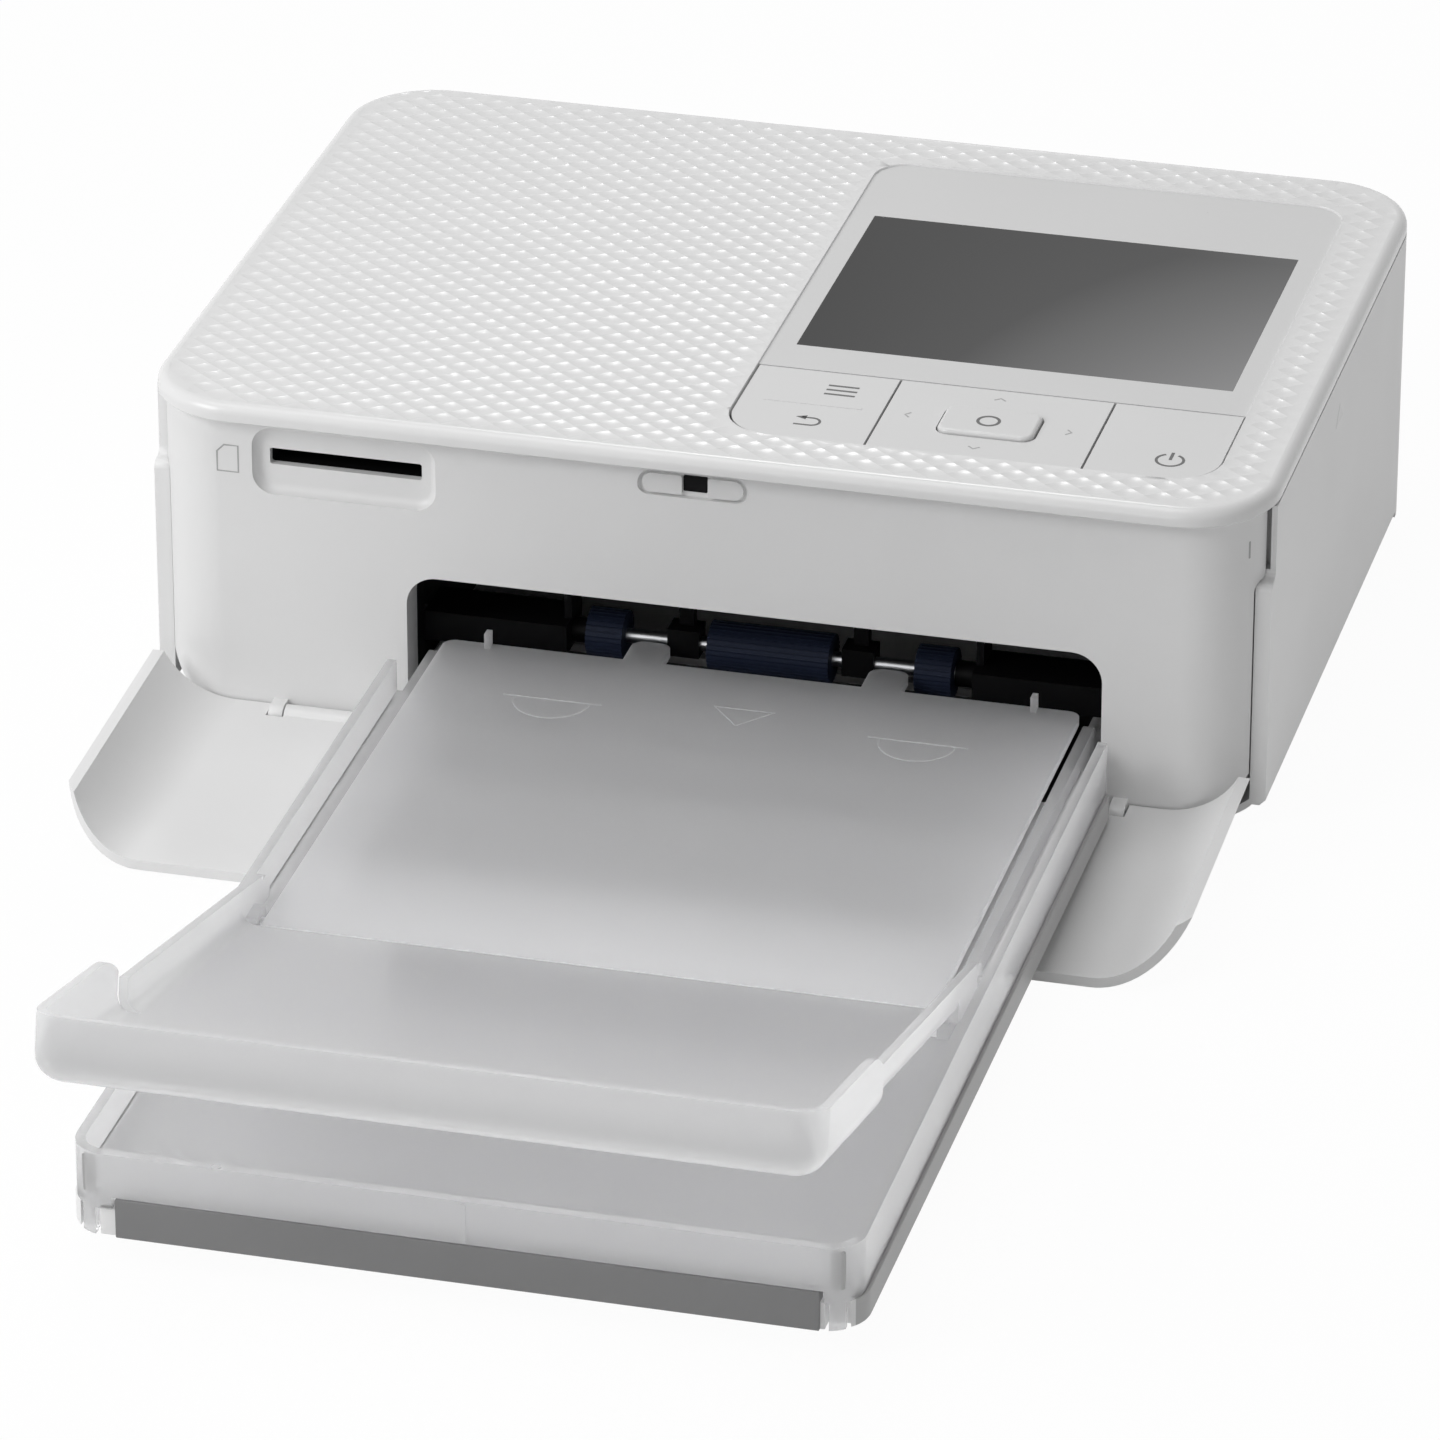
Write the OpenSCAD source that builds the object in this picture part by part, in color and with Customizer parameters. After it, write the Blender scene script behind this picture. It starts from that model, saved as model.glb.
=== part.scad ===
// Compact photo printer with its paper cassette inserted and its front door open.
// X runs to the right seen from the front, the front faces -Y, +Z is up.
// Sizes below are in a working frame whose y = 0 is the lip of the top cover.
// place() moves everything so that the origin is at the middle of the footprint.

/* [Body] */
// Width over the side covers
body_w = 182.2; // [178:0.1:190]
// Depth from the lip of the top cover to the rear face
body_d = 133; // [131:0.5:140]
// Height from the feet to the top
body_h = 57.6; // [57:0.1:62]
// Plan radius of the body's corners
corner_r = 15; // [13:0.5:17]
// Wall of the side covers and the rear panel
side_wall = 2.6; // [2.2:0.1:3]
// Wall of the front panel
front_wall = 2; // [1.8:0.1:2.4]
// Height of the top cover's rim
lip_h = 3; // [2.6:0.1:3.4]
// Rounding of the top cover's upper edge
lip_r = 1.8; // [1:0.1:2]
// Thickness of the top cover's plate
top_t = 2.2; // [1.8:0.1:2.4]
// Set-back of the front panel behind the lip
face_inset = 3; // [2.8:0.1:3.6]
// Set-back of the front panel's ends inside the side covers
wing_inset = 1.2; // [1:0.1:1.6]
// Plan radius of the front panel's corners
face_r = 12; // [10:0.5:14]
// Height of the rubber feet
foot_h = 1; // [0.8:0.1:1.2]
// Diameter of the rubber feet
foot_d = 12; // [8:0.5:14]
// Thickness of the bottom tray's floor
tray_t = 1.4; // [1.2:0.1:2]
// Lower edge of the side covers above the table
side_z = 3.5; // [3.2:0.1:4]
// Radius of the front panel's lower corners
panel_low_r = 12.8; // [10:0.1:16]
// Front edge of the side covers behind the lip
side_front_y = 9.4; // [9.2:0.1:10]
// Height above which the side covers step back
side_step_z = 40.5; // [36:0.5:44]
// Depth of that step
side_step = 2.9; // [2:0.1:4]

/* [Paper path] */
// Middle of the paper path, right of the body's middle
path_x = 9.7; // [9:0.1:10.5]
// Middle of the mouth, right of the body's middle
mouth_x = 9.2; // [9:0.1:9.7]
// Width of the mouth in the front panel
mouth_w = 113.2; // [112:0.1:114]
// Height of the top of the mouth
mouth_top = 29.8; // [29:0.1:31]
// Radius of the mouth's upper corners
mouth_r = 5; // [3:0.5:7]
// Distance between the inner side plates
frame_gap = 122.4; // [122:0.1:124]
// Thickness of the inner side plates
plate_t = 1.6; // [1.2:0.1:2]

/* [Control panel] */
// Left edge of the control panel
panel_x = 1.5; // [1:0.1:2]
// Width of the control panel
panel_w = 79.5; // [79:0.1:80.5]
// Front edge of the keys behind the lip
panel_y = 11.3; // [11:0.1:12]
// Depth of the panel with its keys
panel_d = 109.5; // [108:0.5:111]
// Corner radius of the panel's rear corners
panel_r = 6; // [4:0.5:8]
// Corner radius of the keys' outer front corners
key_r = 8; // [5:0.5:9]
// Depth of the key row
key_d = 25.6; // [24:0.1:27]
// Gap round the keys
key_gap = 0.4; // [0.35:0.05:0.6]
// Thickness of the control panel and of the key caps
panel_t = 1.2; // [1:0.1:1.3]
// Depth of the panel's face below the top
panel_sink = 0.3; // [0.2:0.05:0.4]
// Width of the middle key, the four-way pad
nav_w = 34.4; // [32:0.1:36]
// Width of the left key
menu_w = 23; // [21:0.1:24]
// Width of the confirm key
ok_w = 15.5; // [14:0.1:17]
// Depth of the confirm key
ok_d = 9.8; // [8:0.1:11]
// Height of the confirm key above the pad
ok_rise = 0.7; // [0.4:0.05:1]
// Press travel of the power and confirm keys
key_travel = 0.3; // [0.2:0.05:0.3]
// Width of the display window
lcd_w = 71.3; // [70:0.1:73]
// Depth of the display window
lcd_d = 52.9; // [52:0.1:54]
// Front edge of the display window behind the lip
lcd_y = 46; // [45:0.1:47]

/* [Front door] */
// Thickness of the door
door_wall = 1.7; // [1.5:0.1:1.8]
// Door axis behind the lip
door_axis_y = 0.9; // [0.8:0.1:1]
// Door axis above the table
door_axis_z = 3.5; // [3.4:0.1:3.8]
// Angle of the open door
door_open = 92.8; // [90:0.1:92.8]
// Radius of the door's free corners
door_corner_r = 15; // [10:0.5:18]
// Outer radius of the hinge knuckles
knuckle_r = 1.8; // [1.6:0.1:1.8]
// Diameter of the door's hinge pins
door_pin_d = 1.6; // [1.2:0.1:1.8]

/* [Paper cassette] */
// Underside of the cassette above the table
cas_z = 4.6; // [4.5:0.1:4.8]
// Width of the part outside the printer
cas_w = 118; // [117:0.5:120]
// Width of the part inside the printer
cas_in_w = 108.8; // [108:0.1:109]
// Front face of the cassette before the lip
cas_front = 166.6; // [164:0.5:170]
// Front end of the narrow part before the lip
cas_step = 3.4; // [3.3:0.1:6]
// Rear end of the cassette behind the lip
cas_rear = 26; // [25:0.5:26]
// Height of the rims above the table
cas_rim_z = 18; // [17.8:0.1:18.4]
// Height of the lower band's top above the table
cas_band_z = 9; // [8.6:0.1:9.4]
// Corner radius of the cassette
cas_r = 6; // [5:0.5:8]
// Wall of the cassette
cas_wall = 1.5; // [1.3:0.1:1.6]
// Height of the grey front bar above the table
bar_z = 10.9; // [10.5:0.1:11.4]
// Distance of the grey front bar's ends from the sides of the cassette
bar_end = 6.9; // [6.6:0.1:8]
// Middle of the grey front bar, right of the paper path's middle
bar_shift = 0.9; // [0.5:0.1:1]
// Top of the inner lid above the table
lid_z = 17.2; // [17:0.1:17.4]
// Thickness of the inner lid
lid_t = 1.4; // [1.2:0.1:1.6]
// Width of the inner lid
lid_w = 104; // [102:0.1:104.4]
// Front edge of the inner lid before the lip
lid_front = 92.6; // [91:0.1:94]
// Rear edge of the inner lid behind the lip
lid_rear = 7.4; // [6:0.1:7.8]

/* [Outer cover] */
// Angle of the open outer cover above level
cover_tilt = 14.1; // [13.5:0.1:17]
// Width of the outer cover over its side walls
cover_w = 112.3; // [112:0.1:112.5]
// Width of the outer cover over its front corners
cover_front_w = 115; // [113:0.1:115.4]
// Length of the outer cover from its axis
cover_len = 105.9; // [104:0.1:111]
// Wall of the outer cover
cover_t = 1.4; // [1.2:0.1:1.5]
// Height of the cover's side walls
cover_side_h = 6.4; // [5:0.1:6.6]
// Height of the cover's front wall and corner ears
cover_front_h = 10.2; // [9:0.1:10.5]
// Cover axis before the lip
cover_axis_y = 82; // [81:0.5:83]
// Cover axis above the table
cover_axis_z = 16.6; // [16.4:0.1:16.8]
// Distance from the axis down to the cover's outer face
cover_drop = 3.2; // [3:0.02:3.4]
// Length of the raised corner walls
ear_len = 37.8; // [30:0.1:40]
// Plan radius of the cover's front corners
cover_r = 5; // [4:0.5:6]
// Rounding of the cover's lower front edge
cover_edge_r = 4; // [3:0.1:4.6]
// Diameter of the cover's trunnions
cover_pin_d = 2; // [1.8:0.1:2.2]

/* [Feed rollers] */
// Pickup shaft behind the lip
pickup_y = 18; // [17.5:0.1:18.5]
// Pickup shaft above the table
pickup_z = 16.2; // [16.1:0.1:16.6]
// Diameter of the pickup shaft
pickup_shaft_d = 2.4; // [2:0.1:2.4]
// Outer diameter of the pickup rollers
pickup_d = 8.1; // [7.6:0.1:8.2]
// Width of the middle pickup roller
pickup_wide = 20; // [18:0.5:22]
// Width of the outer pickup rollers
pickup_narrow = 6; // [5:0.5:7]
// Distance of the outer pickup rollers from the middle one
pickup_pitch = 27; // [26:0.5:28]
// Ribs round one pickup roller
pickup_ribs = 30; // [20:1:36]

/* [Print mechanism] */
// Platen axis behind the lip
platen_y = 69; // [68.5:0.1:69.5]
// Platen axis below the middle of the height
platen_low = 10.8; // [10.6:0.1:11]
// Diameter of the platen roller
platen_d = 12; // [11:0.1:12.2]
// Ribbon spool axes below the top
spool_low = 24.6; // [24.4:0.1:24.8]
// Distance of each ribbon spool axis from the platen
spool_pitch = 19; // [18.8:0.1:19.2]
// Outer radius of the cartridge's spool shells
shell_r = 11; // [10.5:0.1:11]
// Capstan axis behind the lip
capstan_y = 104; // [103.6:0.1:104.2]
// Capstan axis above the platen axis
capstan_up = 2; // [1.9:0.1:2.1]
// Gear module
gear_m = 0.6; // [0.6:0.6:0.6]
// Thickness of one gear
gear_w = 2.1; // [1.8:0.1:2.2]

/* [Hidden] */

$fn = 48;
eps = 0.01;
gap = 0.3;
run_fit = 0.05;

half_w = body_w / 2;
tray_z = foot_h;
tray_top = foot_h + tray_t;
rim_z = body_h - lip_h;
plate_z = body_h - top_t;
side_in = half_w - side_wall;
face_x = half_w - wing_inset;
side_top = rim_z - 0.2;
rear_y0 = body_d - corner_r;
cover_front_y = -cover_axis_y - (cover_len - cover_edge_r) * cos(cover_tilt)
    - (cover_drop - cover_edge_r) * sin(cover_tilt) - cover_edge_r;
mid_y = (body_d + cover_front_y) / 2;

left_plate_x = path_x - frame_gap / 2;
right_plate_x = path_x + frame_gap / 2;
board_z = body_h - 7.8;
board_t = 1.2;
plate_top = board_z - 6.8;
plate_front = 12.2;
plate_rear = body_d - side_wall - 2;

panel_z = body_h - panel_sink;
panel_x1 = panel_x + panel_w;
panel_y1 = panel_y + panel_d;
key_y1 = panel_y + key_d;
nav_x = panel_x + key_gap + menu_w + key_gap;
power_x = nav_x + nav_w + key_gap;
power_w = panel_x1 - key_gap - power_x;
key_mid_y = panel_y + key_d / 2;
nav_mid_x = nav_x + nav_w / 2;
key_axis_z = body_h - 3.6;
side_dome_x = 14.8;
front_dome_y = 10.4;
dome_z = board_z + board_t + 0.5;
stem_z = dome_z + 0.35;

gear_x = left_plate_x - plate_t - 0.6;
train_x = gear_x - gear_w - 0.4;
bracket_x = train_x - gear_w - 0.7;
bracket_t = 1.2;
shaft_d = 5;
idler_pin_d = 2.5;
takeup_y = platen_y + spool_pitch;
supply_y = platen_y - spool_pitch;

pinion_n = 14;
platen_n = 40;
takeup_n = 30;
idler_a_n = 27;
idler_b_n = 26;
idler_c_n = 27;
pickup_n = 24;
capstan_n = 24;
mesh_gap = 0.08;

// Distance of two axes whose gears mesh
function mesh(n1, n2) = gear_m * (n1 + n2) / 2 + mesh_gap;
// Point at distances r1 and r2 from p1 and p2, on the side that s picks
function meet(p1, r1, p2, r2, s) = let (
    d = norm(p2 - p1),
    u = (p2 - p1) / d,
    a = (d * d + r1 * r1 - r2 * r2) / (2 * d),
    h = sqrt(r1 * r1 - a * a)
) p1 + a * u + s * h * [-u[1], u[0]];
function turn(p1, p2) = atan2(p2[1] - p1[1], p2[0] - p1[0]);
// Phase of gear 2 that meshes with gear 1 of phase f1
function phase(p1, n1, f1, p2, n2) = turn(p1, p2) + 180 - 180 / n2 + (turn(p1, p2) - f1) * n1 / n2;

platen_z = body_h / 2 - platen_low;
spool_z = body_h - spool_low;
capstan_z = platen_z + capstan_up;
platen_c = [platen_y, platen_z];
takeup_c = [takeup_y, spool_z];
capstan_c = [capstan_y, capstan_z];
pickup_c = [pickup_y, pickup_z];
pinion_c = meet(platen_c, mesh(platen_n, pinion_n), takeup_c, mesh(takeup_n, pinion_n), -1);
idler_c_c = meet(platen_c, mesh(platen_n, idler_c_n), capstan_c, mesh(capstan_n, idler_c_n), -1);
idler_a_dip = asin((platen_z - pickup_z + 1) / mesh(platen_n, idler_a_n));
idler_a_c = platen_c + mesh(platen_n, idler_a_n) * [-cos(idler_a_dip), -sin(idler_a_dip)];
idler_b_c = meet(idler_a_c, mesh(idler_a_n, idler_b_n), pickup_c, mesh(idler_b_n, pickup_n), -1);
platen_f = 0;
pinion_f = phase(platen_c, platen_n, platen_f, pinion_c, pinion_n);
takeup_f = phase(pinion_c, pinion_n, pinion_f, takeup_c, takeup_n);
idler_c_f = phase(platen_c, platen_n, platen_f, idler_c_c, idler_c_n);
capstan_f = phase(idler_c_c, idler_c_n, idler_c_f, capstan_c, capstan_n);
idler_a_f = phase(platen_c, platen_n, platen_f, idler_a_c, idler_a_n);
idler_b_f = phase(idler_a_c, idler_a_n, idler_a_f, idler_b_c, idler_b_n);
pickup_f = phase(idler_b_c, idler_b_n, idler_b_f, pickup_c, pickup_n);

mouth_x0 = mouth_x - mouth_w / 2;
mouth_x1 = mouth_x + mouth_w / 2;
mouth_wall_y = 8.7;
cartridge_x1 = side_in - 4.5;
power_x0 = -half_w + 25.1;
usb_x = half_w - 27.1;
card_x = -half_w + 21;
card_w = 25.1;
card_z = board_z - 3.7;
latch_z = rim_z - 4.8;
knuckles = [[-69.8, -67.5], [68, 70.4]];
barrels = [[-67.2, -50], [65.2, 67.7]];
ink_axis_x = half_w - 2.1;
ink_axis_z = 6.6;
ink_pin_d = 1.6;

roller_x = path_x - 0.8;

cas_bottom = cas_z + 1.4;
cas_half = cas_w / 2;
cas_in_half = cas_in_w / 2;
frame_half = cas_half - 0.5;
frame_front = cas_front - 0.3;
deck_z = 12.6;
deck_t = 1.2;
lip_half = cas_in_half - 1.8;
narrow_z = 15.6;
narrow_low_z = 13.6;
lid_half = lid_w / 2;
lid_axis_y = -lid_front + 2.4;
lid_axis_z = lid_z - lid_t / 2;
lid_pin_d = 1.4;
lid_hook_x = 44.6;
post_x0 = cas_half - 4.7;
post_x1 = cas_half - 2.5;
bar_x0 = path_x + bar_shift - cas_half + bar_end;
bar_x1 = path_x + bar_shift + cas_half - bar_end;
cover_start = 11.8;
ear_s = cover_len - ear_len;

white = [0.93, 0.93, 0.93];
pale = [0.85, 0.86, 0.86];
frost = [0.8, 0.81, 0.82];
grey = [0.55, 0.56, 0.57];
black = [0.08, 0.08, 0.09];
navy = [0.1, 0.13, 0.22];
steel = [0.72, 0.73, 0.75];
green = [0.1, 0.35, 0.2];

module place() { translate([0, -mid_y, 0]) children(); }

// Rectangle from [x0, y0] to [x1, y1] with round corners
module rrect(x0, y0, x1, y1, r) {
    translate([x0 + r, y0]) square([x1 - x0 - 2 * r, y1 - y0]);
    if (y1 - y0 - 2 * r > eps) translate([x0, y0 + r]) square([x1 - x0, y1 - y0 - 2 * r]);
    for (x = [x0 + r, x1 - r], y = [y0 + r, y1 - r]) translate([x, y]) circle(r = r);
}

// Box from corner a to corner b
module box(a, b) { translate(a) cube(b - a); }

// Body outline drawn in by d
module body_outline(d) {
    rrect(-half_w + d, d, half_w - d, body_d - d, corner_r - d);
}

// Extrudes a front view, drawn as [x, z], from y0 to y1
module front_view(y0, y1) {
    translate([0, y1, 0]) rotate([90, 0, 0]) linear_extrude(height = y1 - y0) children();
}

// Extrudes a side view, drawn as [y, z], from x0 to x1
module side_view(x0, x1) {
    translate([x0, 0, 0]) rotate([90, 0, 90]) linear_extrude(height = x1 - x0) children();
}

// Cylinder along X round the axis c = [y, z]
module rod(x0, x1, c, d) {
    translate([x0, c[0], c[1]]) rotate([0, 90, 0]) cylinder(d = d, h = x1 - x0);
}

// Gear outline: straight-flanked teeth on a disc
module gear_outline(n, f, bore) {
    r = gear_m * n / 2;
    ra = r + gear_m * 0.9;
    rf = r - gear_m * 1.2;
    s = 360 / n;
    points = [for (i = [0 : n - 1]) for (p = [[-0.34, rf], [-0.13, ra], [0.13, ra], [0.34, rf]])
        p[1] * [cos(f + (i + p[0]) * s), sin(f + (i + p[0]) * s)]];
    difference() {
        polygon(points);
        circle(d = bore);
    }
}

module gear(x0, c, n, f, bore, w = gear_w) {
    translate([0, c[0], c[1]]) side_view(x0 - w, x0) gear_outline(n, f, bore);
}

// Slab with a rounded upper edge, swept round a rounded rectangle
module rounded_slab(x0, y0, x1, y1, z0, z1, r, e) {
    module edge(s) {
        intersection() {
            union() {
                square([s, z1 - z0 - e]);
                square([s - e, z1 - z0]);
                translate([s - e, z1 - z0 - e]) circle(r = e);
            }
            square([s, z1 - z0]);
        }
    }
    translate([0, 0, z0]) {
        for (c = [[x0 + r, y0 + r, 180], [x1 - r, y0 + r, 270], [x1 - r, y1 - r, 0], [x0 + r, y1 - r, 90]])
            translate([c[0], c[1], 0]) rotate([0, 0, c[2]]) rotate_extrude(angle = 90) edge(r);
        for (y = [y0 + r, y1 - r]) translate([x0 + r, y, 0]) rotate([90, 0, 90])
            linear_extrude(height = x1 - x0 - 2 * r)
                mirror([y == y0 + r ? 1 : 0, 0]) edge(r);
        for (x = [x0 + r, x1 - r]) translate([x, y1 - r, 0]) rotate([90, 0, 0])
            linear_extrude(height = y1 - y0 - 2 * r)
                mirror([x == x0 + r ? 1 : 0, 0]) edge(r);
        translate([x0 + r - eps, y0 + r - eps, 0])
            cube([x1 - x0 - 2 * r + 2 * eps, y1 - y0 - 2 * r + 2 * eps, z1 - z0]);
    }
}

// ---------------------------------------------------------------- casing

module bottom_tray() {
    color(white) place() {
        translate([0, 0, tray_z]) linear_extrude(height = tray_t) difference() {
            rrect(-side_in, face_inset + front_wall + 0.1, side_in, body_d - side_wall, corner_r - side_wall);
            for (i = [0 : 9]) translate([-side_in + 10.5 + i * 4, 62]) square([1.8, 34]);
        }
        for (x = [path_x - cas_in_half + 6, path_x + cas_in_half - 8])
            box([x, 8, tray_top], [x + 2, 30, cas_z]);
        ink_hinge_arms();
    }
}

// Arms with the pins on which the ink door turns
module ink_hinge_arms() {
    root_x = ink_axis_x - 5;
    for (s = [[20.5, 1], [105.5, -1]]) translate([0, s[0], 0]) {
        translate([root_x, 0, tray_top - eps]) cube([1.4, 3.2, ink_axis_z - tray_top + 0.9]);
        translate([root_x, 0, ink_axis_z - 0.9]) cube([ink_axis_x - root_x, 3.2, 1.8]);
        translate([ink_axis_x, 0, ink_axis_z]) rotate([-90, 0, 0]) cylinder(r = 0.9, h = 3.2);
        translate([ink_axis_x, s[1] > 0 ? 3 : -6, ink_axis_z]) rotate([-90, 0, 0])
            cylinder(d = ink_pin_d, h = 6.2);
    }
}

// Hollow in the front, seen from the front, with a round edge round its floor
module front_pocket(x0, z0, x1, z1, depth, r, e) {
    rotate([-90, 0, 0]) rounded_slab(x0, -z1, x1, -z0, -5, face_inset + depth, r, e);
}

module front_panel() {
    shell_y1 = plate_front - 0.2;
    color(white) place() difference() {
        union() {
            intersection() {
                translate([0, 0, tray_top]) linear_extrude(height = rim_z - tray_top) difference() {
                    rrect(-face_x, face_inset, face_x, body_d, face_r);
                    rrect(-face_x + front_wall, face_inset + front_wall, face_x - front_wall,
                        body_d - front_wall, face_r - front_wall);
                    translate([-half_w, shell_y1]) square([body_w, body_d]);
                }
                front_view(0, 20) rrect(-face_x, tray_top, face_x, body_h + 20, panel_low_r);
            }
            // short frame round the mouth
            front_view(face_inset + 1, mouth_wall_y) difference() {
                rrect(mouth_x0 - 1.6, tray_top, mouth_x1 + 1.6, mouth_top + 1.6, mouth_r + 1.6);
                rrect(mouth_x0, tray_top - 20, mouth_x1, mouth_top, mouth_r);
            }
            // pocket behind the card slot and the latch hole
            box([card_x - 4.6, face_inset + 1, card_z - 6.6],
                [card_x + card_w + 5, face_inset + 4, rim_z - 0.4]);
            box([-11.4, face_inset + 1, latch_z - 3.4], [10.8, face_inset + 3.4, rim_z - 0.4]);
            // outer halves of the door's knuckles
            for (s = knuckles) {
                rod(s[0], s[1], [door_axis_y, door_axis_z], knuckle_r * 2);
                box([s[0], door_axis_y, tray_top], [s[1], face_inset + 1, door_axis_z + knuckle_r]);
            }
        }
        front_view(-5, 14) rrect(mouth_x0, tray_top - 20, mouth_x1, mouth_top, mouth_r);
        // room for the front edges of the side cover and the ink door
        side_view(-half_w - 1, -side_in + gap) side_region(gap);
        side_view(side_in - gap, half_w + 1) side_region(gap);
        // room for the lower edge of the ink door as it turns
        translate([ink_axis_x, side_front_y - gap, ink_axis_z]) rotate([-90, 0, 0]) cylinder(r = 4.2, h = 10);
        front_pocket(card_x - 2.5, card_z - 4.6, card_x + card_w + 2.7, rim_z - 1.5, 1.6, 3.5, 1.4);
        front_view(0, 20) rrect(card_x, card_z, card_x + card_w, card_z + 2.8, 0.4);
        front_pocket(-9.3, latch_z - 2, 8.7, rim_z - 1.2, 0.9, 2.7, 0.8);
        box([-1.9, 0, latch_z], [1.7, 20, latch_z + 2]);
        rod(-80, 80, [door_axis_y, door_axis_z], door_pin_d);
    }
}

// Side cover in side view, grown by d: an S-curve leads back over the step of its front edge
module side_region(d) {
    r = side_step / 2;
    c = side_front_y + r;
    step_top = side_step_z + side_step;
    translate([side_front_y - d, side_z - d - 5]) square([side_step + d + eps, side_step_z - side_z + d + 5]);
    translate([side_front_y + side_step - d, side_z - d - 5]) square([rear_y0, side_top - side_z + d + 6]);
    translate([c, side_step_z]) circle(r = r + d);
    difference() {
        translate([c, side_step_z - eps]) square([r + eps, step_top - side_step_z]);
        translate([c, step_top]) circle(r = r - d);
    }
}

module side_outline() {
    intersection() {
        side_region(0);
        translate([side_front_y, side_z]) square([rear_y0 - side_front_y, side_top - side_z]);
    }
}

module left_side_cover() {
    color(white) place() {
        side_view(-half_w, -side_in) side_outline();
        // ribs that seat against the tray
        for (y = [30, 66, 102]) box([-side_in, y, tray_top], [-side_in + 2.4, y + 1.6, side_top - 4]);
    }
}

module rear_panel() {
    slot_half = 53.5;
    color(white) place() difference() {
        union() {
            translate([0, 0, side_z]) linear_extrude(height = side_top - side_z) difference() {
                body_outline(0);
                body_outline(side_wall);
                translate([-half_w - 1, -1]) square([body_w + 2, rear_y0 + 1]);
            }
            // ribs that stand on the tray
            for (x = [-half_w + 41, half_w - 23])
                translate([x, body_d - side_wall - 1.6, tray_top]) cube([1.6, 2.6, 13]);
        }
        // paper slot, air slots and the openings of the two sockets
        front_view(rear_y0, body_d + 1) rrect(path_x - slot_half, 19.5, path_x + slot_half, 27.5, 2);
        for (i = [0 : 11]) translate([-half_w + 21.1 + i * 5, rear_y0, plate_top - 9])
            cube([2.6, corner_r + 1, 12]);
        front_view(rear_y0, body_d + 1) translate([power_x0, 14]) circle(d = 8.2);
        front_view(rear_y0, body_d + 1) rrect(usb_x - 5, 8, usb_x + 5, 11.6, 1.8);
    }
}

module top_cover() {
    color(white) place() difference() {
        rounded_slab(-half_w, 0, half_w, body_d, rim_z, body_h, corner_r, lip_r);
        // hollow below the plate
        translate([0, 0, rim_z - 1]) linear_extrude(height = plate_z - rim_z + 1)
            body_outline(side_wall + 1.6);
        // seat of the control panel and the well of the keys
        translate([0, 0, panel_z - panel_t]) linear_extrude(height = 10)
            rrect(panel_x, panel_y + 12, panel_x1, panel_y1, panel_r);
        translate([0, 0, plate_z - 1]) linear_extrude(height = 10)
            rrect(panel_x + 2.4, panel_y + 12, panel_x1 - 2.4, panel_y1 - 2.4, panel_r - 2.4);
        translate([0, 0, plate_z - 1]) linear_extrude(height = 10)
            rrect(panel_x, panel_y, panel_x1, key_y1 + 12, key_r);
    }
}

module rubber_feet() {
    color(grey) place() for (x = [-half_w + 17.1, half_w - 17.1], y = [18, body_d - 17])
        translate([x, y, 0]) cylinder(d = foot_d, h = foot_h);
}

// ---------------------------------------------------------------- control panel

module control_panel() {
    color(white) place() translate([0, 0, panel_z - panel_t]) linear_extrude(height = panel_t) difference() {
        intersection() {
            rrect(panel_x + run_fit, panel_y + 12, panel_x1 - run_fit, panel_y1 - run_fit, panel_r);
            translate([0, key_y1 + key_gap]) square([200, 200]);
        }
        translate([(panel_x + panel_x1 - lcd_w) / 2, lcd_y]) square([lcd_w, lcd_d]);
    }
}

module lcd_window() {
    color([0.1, 0.1, 0.11]) place()
        translate([(panel_x + panel_x1 - lcd_w) / 2, lcd_y, panel_z - panel_t])
            cube([lcd_w, lcd_d, panel_t]);
}

module lcd_module() {
    x0 = (panel_x + panel_x1 - lcd_w) / 2;
    low_z = board_z + 2.4;
    color(black) place() {
        box([x0 - 1.3, lcd_y - 4, low_z], [x0 + lcd_w + 1.3, lcd_y + lcd_d + 2, panel_z - panel_t - 0.3]);
        // posts that seat on the board below
        for (x = [x0 + 4, x0 + lcd_w - 8], y = [lcd_y, lcd_y + lcd_d - 6])
            box([x, y, board_z + board_t], [x + 4, y + 4, low_z]);
    }
}

module key_board() {
    color(green) place() {
        box([panel_x - 2, panel_y, board_z], [panel_x1 - 1, lcd_y + lcd_d + 4, board_z + board_t]);
        for (p = [[menu_x_mid(), key_mid_y - 8], [menu_x_mid(), key_mid_y + 8], [nav_mid_x, key_mid_y],
                [power_x + power_w / 2, key_mid_y],
                [nav_mid_x - side_dome_x, key_mid_y], [nav_mid_x + side_dome_x, key_mid_y],
                [nav_mid_x, key_mid_y - front_dome_y], [nav_mid_x, key_mid_y + front_dome_y]])
            translate([p[0], p[1], board_z + board_t]) cylinder(d = 3.4, h = 0.5);
    }
}

function menu_x_mid() = panel_x + key_gap + menu_w / 2;

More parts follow.
